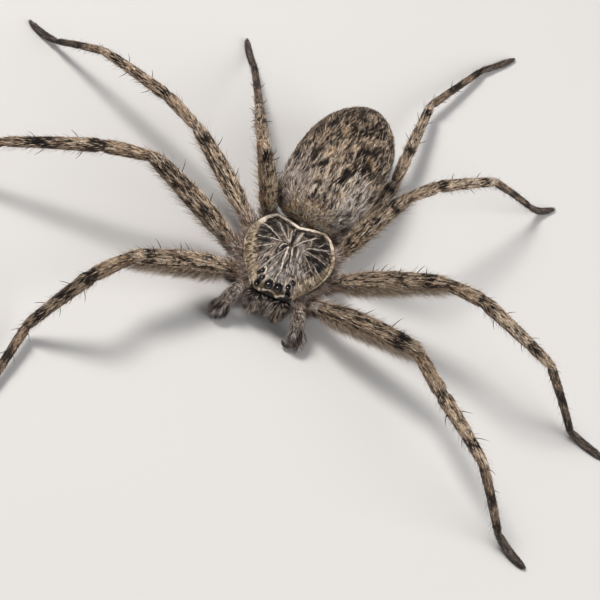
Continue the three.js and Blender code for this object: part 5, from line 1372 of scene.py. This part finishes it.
PIECES = {
    "coat_legs_1": ("leg1_left", "leg1_right"), "coat_legs_2": ("leg2_left", "leg2_right"),
    "coat_legs_3": ("leg3_left", "leg3_right"), "coat_legs_4": ("leg4_left", "leg4_right"),
    "coat_abdomen_left": ("abdomen",), "coat_abdomen_right": ("abdomen",),
    "coat_hips": ("hips",), "coat_face": ("jaws", "palp_left", "palp_right"),
}
MOST = {"coat_legs_1": 22500, "coat_legs_2": 22500, "coat_legs_3": 20500, "coat_legs_4": 20500, "coat_hips": 22000, "coat_face": 21000,
        "coat_abdomen_left": 27500, "coat_abdomen_right": 27500}
owner_by_id = {int(i): owner_of(int(i)) for i in np.unique(face_id)}
coat_objects = {}
counts = {}
for piece, who in PIECES.items():
    ids = [i for i, o in owner_by_id.items() if o in who]
    sel = np.isin(face_id, ids) & (density > 0)
    if piece.startswith("coat_abdomen"):
        across = (fc - AB_CENTRE) @ AB_SIDE
        sel &= (across >= 0) if piece.endswith("left") else (across < 0)
    f = sf[sel]
    w = density[sel]
    tri_area = np.linalg.norm(np.cross(sv[f[:, 1]] - sv[f[:, 0]], sv[f[:, 2]] - sv[f[:, 0]]), axis=1) / 2
    count = int(min(MOST[piece], (tri_area * w).sum()))
    counts[piece] = (round(float(tri_area.sum())), round(float((tri_area * w).sum())), count)
    P, N = sample(sv, f, sn, w, count)
    c = classify(P)
    base = np.array([style_of(int(i)) if i in STYLE or i < 100 else STYLE[TRUNK_ID] for i in c["id"]], float)
    L, W, lift, arch, spread = (base[:, k].copy() for k in range(5))
    clump = fbm(P[:, 0] / .7, P[:, 1] / .7, P[:, 2] / .7, 801)
    clump2 = noise(P[:, 0] / .45, P[:, 1] / .45, P[:, 2] / .45, 803)
    L = L * (.7 + .6 * rng.random(count)) * (.85 + .3 * clump)
    lift = lift * (.65 + .5 * rng.random(count) + .5 * (clump2 - .3))
    turn = (clump - .5) * 2 * np.radians(spread) * 1.6 + rng.normal(0, 1, count) * np.radians(spread) * .55
    ids_ = c["id"]
    ab = ids_ == ABDOMEN_ID
    front = ab & (c["U"] < -2.2)
    L[front] *= 1.3
    L[front & (c["y"] < -1.5)] *= 1.4
    lift[front] += 14 * smooth(-c["U"][front], 2.2, 4.0)
    rearmost = ab & (c["U"] > 9)
    lift[rearmost] *= 1.5
    under_ = ab & (c["z"] < -1.5)
    L[under_] *= .8
    top_ = ab & (c["z"] > 3.2)
    lift[top_] *= .85
    fan = np.array([i < 100 and SEGMENTS[i].kind == "palp_tarsus" for i in ids_])
    L[fan] *= 1.25
    lift[fan] += 14 * smooth(c["s"][fan], .1, .7)
    jaw = (ids_ == JAW_L) | (ids_ == JAW_R)
    L[jaw] *= lerp(1.3, .9, smooth(P[jaw, 2], 2.6, 4.4))
    lift[jaw] = lerp(lift[jaw], 74.0, smooth(-N[jaw, 2], .2, .75))
    turn[jaw] *= .7
    trunk = ids_ == TRUNK_ID
    out = unit(np.stack([P[:, 0], (P[:, 1] - .5) * .8, np.zeros(count)], -1))
    wallside = trunk & (P[:, 2] > 3.4)
    c["flow"][wallside] = unit(out[wallside] + V(0, .1, .25))
    L[wallside] *= 1.45
    lift[wallside] = 55 + 12 * (clump2[wallside] - .5)
    T = laid(N, c["flow"], turn)
    tones = strand_colours(P, c, T, L * np.cos(np.radians(lift)))
    # most tufts follow the markings, a few pale and a few dark ones break them up
    tone = np.exp(rng.normal(0, .28, count))[:, None]
    lum = tones[1].mean(1)
    u = rng.random(count)
    pale = (u < .14) & (lum > .25)
    darkish = (u > .89)
    soft_ = np.isin(ids_, [TRUNK_ID, JAW_L, JAW_R]) | np.array([i < 100 and SEGMENTS[i].kind in ("coxa", "trochanter", "palp_tibia", "palp_tarsus", "palp_femur") for i in ids_])
    # each tuft is painted darker at the root and lighter at the tip: painted shade among the tufts and painted light on
    # their tips; the soft parts get the stronger spread
    for k, (f, f2) in enumerate(((.55, .36), (.95, .9), (1.16, 1.3))):
        t = tones[k] * tone * np.where(soft_, f2, f)[:, None]
        t[pale] = mix(t[pale], CREAM, np.full(pale.sum(), .55))
        t[darkish] = mix(t[darkish], CHAR, np.full(darkish.sum(), .6))
        tones[k] = np.clip(t, 0, 1)
    # chart: one strip for each length of limb, along it and round it
    rows_ids = sorted(ids)
    rown = {i: k for k, i in enumerate(rows_ids)}
    rowi = np.array([rown.get(int(i), 0) for i in ids_])
    ph = (c["phi"] + np.pi) / (2 * np.pi)
    if piece.startswith("coat_abdomen"):
        su = np.where(ids_ == ABDOMEN_ID, .01 + .88 * np.clip(c["s"], 0, 1), .92 + .06 * np.clip(c["s"], 0, 1))
        chart = np.stack([su, .01 + .98 * ph], -1)
    else:
        nrow = len(rows_ids)
        chart = np.stack([.01 + .98 * np.clip(c["s"], 0, 1), (rowi + .04 + .92 * ph) / nrow], -1)
    made = [tufts(P, N, T, L, W * (.75 + .5 * rng.random(count)), np.radians(lift), arch, tones, chart)]
    if piece == "coat_hips":     # soft fringe that stands out from under the shield's rim, all round but the face
        m = 6000
        a = rng.uniform(-np.pi, np.pi, m)
        a = a[np.abs(np.mod(a + np.pi / 2 + np.pi, 2 * np.pi) - np.pi) > .42]
        m = len(a)
        rr = reach(a) * rng.uniform(.8, .97, m)
        P = np.stack([rr * np.cos(a), .6 + rr * np.sin(a), rng.uniform(4.9, 5.8, m)], -1)
        P[:, 0] += lean(P[:, 1])
        N = np.tile(V(0, 0, 1), (m, 1))
        wave = (noise(P[:, 0] / .9, P[:, 1] / .9, 0 * a, 821) - .5) * 1.1 + rng.normal(0, .22, m)
        T = laid(N, np.stack([np.cos(a), np.sin(a), 0 * a], -1), wave)
        back_ = smooth(np.sin(a), .55, .95)
        L = rng.uniform(1.0, 2.3, m) * (1 - .45 * back_)
        c = mix(rgb(78, 67, 60), rgb(216, 202, 190), rng.random(m))
        c = mix(c, rgb(120, 106, 96), (rng.random(m) < .3) * .7)
        # the fringe's tufts are painted dark at the root and light at the tip: painted shade and painted light
        made.append(tufts(P, N, T, L, rng.uniform(.035, .06, m), np.radians(rng.uniform(-32, 14, m)), np.full(m, -.1), [c * .45, c * .9, np.clip(c * 1.15, 0, 1)],
                          np.stack([.02 + .96 * (a + np.pi) / (2 * np.pi), np.full(m, .995)], -1)))
    coat_objects[piece] = coat(piece, made)

# the shield's short coat, lying outward from the middle
f = sh_f[(sh_v[sh_f].mean(1)[:, 2] > 6.22)]
ctr = sh_v[f].mean(1)
w = np.ones(len(f))
e = edge_distance(ctr[:, 0], ctr[:, 1])
for c0, er in EYE_CENTRES.values():
    w[np.hypot(ctr[:, 0] - c0[0], ctr[:, 1] - c0[1]) < er * 1.32] = 0
count = 27000
P, N = sample(sh_v, f, sh_n, w, count)
beta, r = shield_polar(P[:, 0], P[:, 1])
e = edge_distance(P[:, 0], P[:, 1])
outward = unit(np.stack([P[:, 0] - PIT[0], P[:, 1] - PIT[1], np.zeros(count)], -1))
headw = (1 - smooth(np.abs(beta), 30, 60))[:, None] * smooth(r, .8, 2)[:, None]
flow = unit(outward * (1 - .2 * headw) + V(0, -1, 0) * .45 * headw)
rim = 1 - smooth(e, .25, .7)
along_rim = unit(np.stack([-(P[:, 1] - .6), P[:, 0], np.zeros(count)], -1)) * np.sign(P[:, 0])[:, None]
flow = unit(flow * (1 - .55 * rim)[:, None] + along_rim * (.5 * rim)[:, None])
near = np.full(count, 9.0)
for c0, er in EYE_CENTRES.values():
    near = np.minimum(near, np.hypot(P[:, 0] - c0[0], P[:, 1] - c0[1]) - er)
L = (.26 + .26 * rng.random(count)) * lerp(.5, 1.0, smooth(near, .1, 1.0)) * lerp(1.0, .75, rim)
lift = np.radians(rng.uniform(4, 15, count) + 5 * rim)
tone = np.exp(rng.normal(0, .2, count))[:, None]
chart = np.stack([.5 + P[:, 0] / 13.4, .5 + (P[:, 1] - .3) / 13.6], -1)
turn = (fbm(P[:, 0] / .6, P[:, 1] / .6, 0 * P[:, 0], 811) - .5) * .4 + rng.normal(0, .13, count)
T = laid(N, flow, turn)
tones = []
# darker at the root, lighter at the tip: painted shade and painted light along each tuft
for t, f in ((.1, .7), (.5, .95), (.9, 1.1)):
    Q = P + T * (L * t)[:, None]
    tones.append(np.clip(shield_colour(Q[:, 0], Q[:, 1], Q[:, 2]) * tone * f, 0, 1))
coat_objects["coat_shield"] = coat("coat_shield", [tufts(P, N, T, L, .024 + .018 * rng.random(count), lift, np.full(count, .3), tones, chart)])

# long soft fringes under the thighs, fine upright bristles everywhere, a fringe round the shield
LONG = 12000
vis = ~hidden
wt = np.zeros(len(sf))
for ident in np.unique(face_id):
    i = int(ident)
    kind = SEGMENTS[i].kind if i < 100 else i
    wt[face_id == i] = {"femur": 3.2, "patella": 2.4, "tibia": 2.6, "metatarsus": 2.0, "tarsus": 1.0, "coxa": 6, "trochanter": 6,
                        "palp_femur": 3, "palp_tibia": 3, "palp_tarsus": 6, ABDOMEN_ID: 2.0, TRUNK_ID: 5, JAW_L: 6, JAW_R: 6}.get(kind, 1.5)
fn = unit(np.cross(sv[sf[:, 1]] - sv[sf[:, 0]], sv[sf[:, 2]] - sv[sf[:, 0]]))
kinds = np.array([SEGMENTS[int(i)].kind if i < 100 else "" for i in face_id])
lowside = smooth(-fn[:, 2], -.1, .6)
front_thigh = (kinds == "femur") & np.isin([SEGMENTS[int(i)].owner if i < 100 else "" for i in face_id], ["leg1_left", "leg1_right", "leg2_left"])
facing = smooth(-fn[:, 1] - .4 * fn[:, 2], .1, .8)
wt = wt * np.where(kinds == "femur", 1 + 1.5 * lowside, 1) * np.where(front_thigh, 1 + 4 * facing, 1) * vis
P, N = sample(sv, sf, sn, wt, LONG)
c = classify(P)
col = body_colours(P, c)
kd = np.array([SEGMENTS[int(i)].kind if i < 100 else {ABDOMEN_ID: "ab", JAW_L: "jaw", JAW_R: "jaw"}.get(int(i), "tr") for i in c["id"]])
L = np.select([kd == "femur", kd == "tibia", kd == "patella", kd == "metatarsus", kd == "tarsus", kd == "ab", kd == "jaw", kd == "palp_tarsus", kd == "coxa", kd == "trochanter"],
              [1.9, 1.7, 1.6, 1.2, .7, 1.3, 1.2, 1.15, 1.7, 1.7], 1.2) * (.6 + .6 * rng.random(LONG))
fr = (kd == "femur") & (N[:, 2] < .25)
L[fr] *= 1.35
W = np.where(rng.random(LONG) < .2, .042, .027)
W = np.where(kd == "tarsus", .026, W)
lift = np.radians(rng.uniform(22, 58, LONG))
lift = np.where(kd == "ab", lift * .75, lift)
turn = rng.normal(0, .3, LONG)
grey = rng.random(LONG)
col = mix(mix(col, rgb(150, 136, 120), np.full(LONG, .55)), CHAR, .75 * (grey < .2))
col[fr] = mix(col[fr], rgb(206, 188, 164), .75 * (grey[fr] > .3))
rowi = c["id"] % 64
chart = np.stack([.01 + .98 * np.clip(c["s"], 0, 1), (rowi + .1 + .8 * (c["phi"] + np.pi) / (2 * np.pi)) / 64], -1)
# the bristles are painted darker at the root and lighter at the tip: painted shade and painted light
coat_objects["coat_bristles"] = coat("coat_bristles", [tufts(P, N, laid(N, c["flow"], turn), L, W, lift, np.full(LONG, .3), [col * .8, col, np.clip(col * 1.1, 0, 1)], chart, steps=2)])


# single strong strands on top of the coat: black dashes, pale strands, and the pale fringe under the front thighs
def strong(name, count, weight, choose):
    P, N = sample(sv, sf, sn, weight, count)
    c = classify(P)
    keep, L, W, lift, col, sd = choose(P, N, c)
    keep = np.flatnonzero(keep)
    c = {k: v[keep] for k, v in c.items()}
    chart = np.stack([.01 + .98 * np.clip(c["s"], 0, 1), (c["id"] % 64 + .1 + .8 * (c["phi"] + np.pi) / (2 * np.pi)) / 64], -1)
    col = col[keep]
    # each strand is painted a little darker at the root and lighter at the tip: painted shade and painted light
    return tufts(P[keep] + N[keep] * sd[keep][:, None], N[keep], laid(N[keep], c["flow"], rng.normal(0, 1, len(keep)) * np.where(c["id"] == ABDOMEN_ID, .3, .1)), L[keep], W[keep],
                 np.radians(lift[keep]), np.full(len(keep), .35), [col * .85, col, np.clip(col * 1.06, 0, 1)], chart)


def kind_of(ids):
    return np.array([SEGMENTS[int(i)].kind if i < 100 else {ABDOMEN_ID: "ab", JAW_L: "jaw", JAW_R: "jaw"}.get(int(i), "tr") for i in ids])


def leg_strands(P, N, c):
    n = len(P)
    pale, dark = np.zeros(n), np.zeros(n)
    kd = kind_of(c["id"])
    for num, g in enumerate(SEGMENTS):
        sel = np.flatnonzero(c["id"] == num)
        if not len(sel) or g.kind not in ("femur", "patella", "tibia"):
            continue
        a, b, f, _ = leg_cells(g, c["U"][sel], c["phi"][sel])
        side = np.sin(c["phi"][sel])
        pale[sel] = a * (.3 + .7 * smooth(side, -.8, .2))
        dark[sel] = np.maximum(b, .7 * f) * smooth(side, -.6, .1)
    isdark = dark > .3
    keep = isdark | ((pale > .45) & (rng.random(n) < .8))
    keep &= N[:, 2] > -.7
    L = np.where(isdark, rng.uniform(.45, .85, n), rng.uniform(.8, 1.5, n))
    W = np.where(isdark, rng.uniform(.08, .12, n), rng.uniform(.055, .085, n))
    lift = rng.uniform(8, 17, n)
    col = np.where(isdark[:, None], mix(BLACK, CHAR * .9, rng.random(n)), mix(CREAM * .98, SAND * .95, .7 * rng.random(n)))
    col = mix(col, CHAR, .5 * ((kd == "patella") & ~isdark & (rng.random(n) < .3)))
    return keep, L, W, lift, col, np.full(n, .06)


def body_strands(P, N, c):
    n = len(P)
    kd = kind_of(c["id"])
    base_col = body_colours(P + c["flow"] * .3, c)
    lum = base_col.mean(1)
    u = rng.random(n)
    ab, hip, jaw = kd == "ab", np.isin(kd, ["coxa", "trochanter", "tr"]), np.isin(kd, ["jaw", "palp_tibia", "palp_tarsus", "palp_femur"])
    isdark = np.where(ab, (lum < .32) & (u < .8), np.where(hip, u < .28, u < .35))
    L = np.where(ab, rng.uniform(.7, 1.6, n), np.where(hip, rng.uniform(1.1, 2.0, n), rng.uniform(.8, 1.35, n)))
    W = np.where(ab, rng.uniform(.06, .1, n), np.where(hip, rng.uniform(.05, .08, n), rng.uniform(.045, .07, n)))
    lift = np.where(ab, rng.uniform(8, 30, n), np.where(hip, rng.uniform(25, 52, n), rng.uniform(16, 34, n)))
    lift = np.where(ab & (c["U"] < -3.2), rng.uniform(24, 52, n), lift)
    L = np.where(ab & (c["U"] < -3.2), L * .8, L)
    palec = np.where(ab[:, None], mix(CREAM, STRAW, rng.random(n)), np.where(hip[:, None], mix(CREAM, ROSE, rng.random(n)), mix(rgb(226, 214, 202), GREY, .8 * rng.random(n))))
    palec = mix(palec, np.clip(base_col * 1.15, 0, 1), .75 * ab)
    # the strands over the abdomen's base are bright gold: partly their own colour, partly painted light against the
    # shade on the base
    goldc = mix(rgb(255, 240, 214), rgb(214, 180, 138), rng.random(n))
    palec = mix(palec, goldc, .9 * (ab & (c["U"] < -4.3)))
    dark = mix(BLACK, UMBER, rng.random(n))
    keep = np.where(ab, isdark | (lum > .5), True) & (P[:, 2] > 1.2)
    keep &= ~(ab & (N[:, 2] < -.5))
    return keep, L, W, lift, np.where(isdark[:, None], dark, palec), np.full(n, .06)


def fringe(P, N, c):
    n = len(P)
    kd = kind_of(c["id"])
    L = np.where(kd == "femur", rng.uniform(1.6, 3.0, n), rng.uniform(1.2, 2.0, n))
    c["flow"] = unit(c["flow"] + V(0, -.5, -.5) * rng.random(n)[:, None])
    col = mix(rgb(214, 200, 180), rgb(120, 106, 92), rng.random(n))
    return np.ones(n, bool), L, rng.uniform(.026, .044, n), rng.uniform(28, 62, n), col * .92, np.zeros(n)


owners = np.array([SEGMENTS[int(i)].owner if i < 100 else "" for i in face_id])
front_low = smooth(-fn[:, 1] * .7 - fn[:, 2] * .7, .1, .8)
w_leg = np.where(np.isin(kinds, ["femur", "patella", "tibia"]), 1.0, 0) * smooth(fn[:, 2], -.7, .1) * vis
w_body = np.select([face_id == ABDOMEN_ID, np.isin(kinds, ["coxa", "trochanter"]) | (face_id == TRUNK_ID), (face_id == JAW_L) | (face_id == JAW_R), np.isin(kinds, ["palp_tibia", "palp_tarsus", "palp_femur"])],
                   [1.0, 4.0, 3.6, 3.6], 0.0) * vis
w_fringe = np.where((kinds == "femur") & np.isin(owners, ["leg1_left", "leg1_right", "leg2_left"]), 1.0, np.where(np.isin(kinds, ["femur", "tibia", "metatarsus"]), .12, 0)) * front_low * vis
coat_objects["coat_strands"] = coat("coat_strands", [strong("legs", 14500, w_leg, leg_strands), strong("body", 11500, w_body, body_strands), strong("fringe", 3200, w_fringe, fringe)])
print("strands", len(coat_objects["coat_strands"].data.polygons))


# ------------------------------------------------------------------ materials
def material(name):
    m = bpy.data.materials.new(name)
    m.use_nodes = True
    nt = m.node_tree
    return m, nt, nt.nodes, nt.links, nt.nodes["Principled BSDF"]


def node(nodes, kind, **values):
    n = nodes.new(kind)
    for k, v in values.items():
        if k.startswith("in_"):
            n.inputs[k[3:].replace("_", " ")].default_value = v
        else:
            setattr(n, k, v)
    return n


def coloured(name, rough=.6, rough_spread=.15, bump=.25, scale=9000, spec=.35, sheen=0.0, bump_distance=.00003, tint=.25, stretch=None):
    """Markings from the surface's own colours, broken by noise; roughness and bump from noise too."""
    m, nt, nodes, links, bsdf = material(name)
    attr = node(nodes, "ShaderNodeAttribute", attribute_name="Markings")
    tc = node(nodes, "ShaderNodeTexCoord")
    big = node(nodes, "ShaderNodeTexNoise", in_Scale=scale * .3, in_Detail=4.0, in_Roughness=.6)
    fine = node(nodes, "ShaderNodeTexNoise", in_Scale=scale, in_Detail=3.0, in_Roughness=.65)
    src = tc.outputs["Object"]
    if stretch:
        mp = node(nodes, "ShaderNodeMapping")
        mp.inputs["Scale"].default_value = stretch
        links.new(src, mp.inputs["Vector"])
        src = mp.outputs["Vector"]
    links.new(src, big.inputs["Vector"])
    links.new(src, fine.inputs["Vector"])
    ramp = node(nodes, "ShaderNodeMapRange", in_To_Min=1 - tint, in_To_Max=1 + tint * .8)
    ramp.inputs["From Min"].default_value = .3
    ramp.inputs["From Max"].default_value = .7
    links.new(big.outputs["Fac"], ramp.inputs["Value"])
    mul = node(nodes, "ShaderNodeVectorMath", operation="SCALE")
    links.new(attr.outputs["Color"], mul.inputs[0])
    links.new(ramp.outputs["Result"], mul.inputs["Scale"])
    links.new(mul.outputs["Vector"], bsdf.inputs["Base Color"])
    rr = node(nodes, "ShaderNodeMapRange", in_To_Min=rough - rough_spread, in_To_Max=rough + rough_spread)
    links.new(fine.outputs["Fac"], rr.inputs["Value"])
    links.new(rr.outputs["Result"], bsdf.inputs["Roughness"])
    bp = node(nodes, "ShaderNodeBump", in_Strength=bump, in_Distance=bump_distance)
    links.new(fine.outputs["Fac"], bp.inputs["Height"])
    links.new(bp.outputs["Normal"], bsdf.inputs["Normal"])
    bsdf.inputs["Specular IOR Level"].default_value = spec
    if sheen:
        bsdf.inputs["Sheen Weight"].default_value = sheen
        bsdf.inputs["Sheen Roughness"].default_value = .4
    return m


mat_skin = coloured("spider_skin", .62, .14, .6, 7000, .3, 0, .00005, .25)
mat_shield = coloured("shield_velvet", .6, .14, .6, 8000, .3, 0, .00004, .22)
mat_coat = coloured("coat_hair", .55, .12, .2, 12000, .35, 0, .00001, .12)
mat_spine = coloured("spine_horn", .34, .1, .2, 9000, .5, 0, .00001, .2)


def glossy(name, dark, light, rough, scale, coat_weight, bump):
    m, nt, nodes, links, bsdf = material(name)
    tc = node(nodes, "ShaderNodeTexCoord")
    nz = node(nodes, "ShaderNodeTexNoise", in_Scale=scale, in_Detail=3.0, in_Roughness=.55)
    links.new(tc.outputs["Object"], nz.inputs["Vector"])
    cr = node(nodes, "ShaderNodeValToRGB")
    cr.color_ramp.elements[0].position, cr.color_ramp.elements[1].position = .35, .7
    cr.color_ramp.elements[0].color = (*dark, 1)
    cr.color_ramp.elements[1].color = (*light, 1)
    links.new(nz.outputs["Fac"], cr.inputs["Fac"])
    links.new(cr.outputs["Color"], bsdf.inputs["Base Color"])
    rr = node(nodes, "ShaderNodeMapRange", in_To_Min=rough * .7, in_To_Max=rough * 1.5)
    links.new(nz.outputs["Fac"], rr.inputs["Value"])
    links.new(rr.outputs["Result"], bsdf.inputs["Roughness"])
    bp = node(nodes, "ShaderNodeBump", in_Strength=bump, in_Distance=.00001)
    links.new(nz.outputs["Fac"], bp.inputs["Height"])
    links.new(bp.outputs["Normal"], bsdf.inputs["Normal"])
    bsdf.inputs["Coat Weight"].default_value = coat_weight
    bsdf.inputs["Coat Roughness"].default_value = .04
    bsdf.inputs["Specular IOR Level"].default_value = .5
    return m


mat_eye = glossy("eye_glass", (.002, .002, .003), (.008, .006, .006), .06, 2500, .6, .02)
mat_fang = glossy("fang_horn", (.012, .006, .004), (.06, .022, .01), .22, 3500, .3, .15)
mat_claw = glossy("claw_horn", (.012, .01, .009), (.05, .035, .025), .3, 5000, .2, .15)


def wear(ob, mat):
    ob.data.materials.clear()
    ob.data.materials.append(mat)


wear(skin, mat_skin)
wear(shield, mat_shield)
for ob in coat_objects.values():
    wear(ob, mat_coat)
for ob in eye_objects:
    wear(ob, mat_eye)
wear(fang_ob, mat_fang)
wear(claw_ob, mat_claw)
wear(spine_ob, mat_spine)

# ------------------------------------------------------------------ what rides and what is replaced
nodes_all = list(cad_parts)
flesh = [n for n in nodes_all if not n.startswith(("eye_", "fang_")) and n != "carapace"]
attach(skin, "root")
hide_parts(*flesh)
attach(shield, "root")
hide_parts("carapace")
for ob in eye_objects:
    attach(ob, "root")
    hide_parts(ob.name.replace("_lens", ""))
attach(fang_ob, "root")
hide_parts("fang_left", "fang_right")
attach(claw_ob, "root")
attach(spine_ob, "root")
for name, ob in coat_objects.items():
    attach(ob, "root")

# ------------------------------------------------------------------ floor, light, camera
me = bpy.data.meshes.new("floor")
me.from_pydata([(-3, -3, 0), (3, -3, 0), (3, 3, 0), (-3, 3, 0)], [], [(0, 1, 2, 3)])
floor = bpy.data.objects.new("floor", me)
scene.collection.objects.link(floor)
m, nt, nodes, links, bsdf = material("pale_floor")
bsdf.inputs["Base Color"].default_value = (.56, .54, .52, 1)
bsdf.inputs["Roughness"].default_value = .8
bsdf.inputs["Specular IOR Level"].default_value = .2
wear(floor, m)

EL, ROLL, FOCAL = math.radians(54), math.radians(22.5), 2632.0
C = metres((3.74, -209.77, 287.72))
F, R0, U0 = V(0, math.cos(EL), -math.sin(EL)), V(1, 0, 0), V(0, math.sin(EL), math.cos(EL))
cx = R0 * math.cos(ROLL) + U0 * math.sin(ROLL)
cy = -R0 * math.sin(ROLL) + U0 * math.cos(ROLL)
cam_data = bpy.data.cameras.new("camera")
cam_data.sensor_width = 36.0
cam_data.lens = FOCAL / 600.0 * 36.0
cam_data.clip_start, cam_data.clip_end = .01, 10
cam = bpy.data.objects.new("camera", cam_data)
scene.collection.objects.link(cam)
M = Matrix.Identity(4)
for k in range(3):
    M[k][0], M[k][1], M[k][2], M[k][3] = cx[k], cy[k], -F[k], C[k]
cam.matrix_world = M
scene.camera = cam

world = bpy.data.worlds.new("studio")
scene.world = world
world.use_nodes = True
bg = world.node_tree.nodes["Background"]
bg.inputs["Color"].default_value = (.93, .96, 1.0, 1)
bg.inputs["Strength"].default_value = .3


def area(name, where, aim, size, power, colour=(1, 1, 1), gloss=True):
    d = bpy.data.lights.new(name, "AREA")
    d.shape, d.size, d.energy, d.color = "DISK", size, power, colour
    o = bpy.data.objects.new(name, d)
    o.location = where
    o.rotation_euler = (Vector(aim) - Vector(where)).to_track_quat("-Z", "Y").to_euler()
    scene.collection.objects.link(o)
    o.visible_glossy = gloss


area("key", tuple(cy * .14 - cx * .2 + V(0, 0, .38)), (0, 0, 0), .24, .6, (1, .98, .96), False)
area("catch", tuple(cy * .13 - cx * .17 + V(0, 0, .36)), (0, 0, 0), .12, 1.5, (1, .98, .96))
area("fill", tuple(cx * .3 - cy * .22 + V(0, 0, .26)), (0, 0, 0), .4, 1.55, (.96, .98, 1), False)
scene.view_settings.view_transform = "Standard"

for ob in list(coat_objects.values()) + [skin, shield, spine_ob, claw_ob, fang_ob]:
    print(ob.name, len(ob.data.polygons))
print("dropped", dropped, "coat", counts)
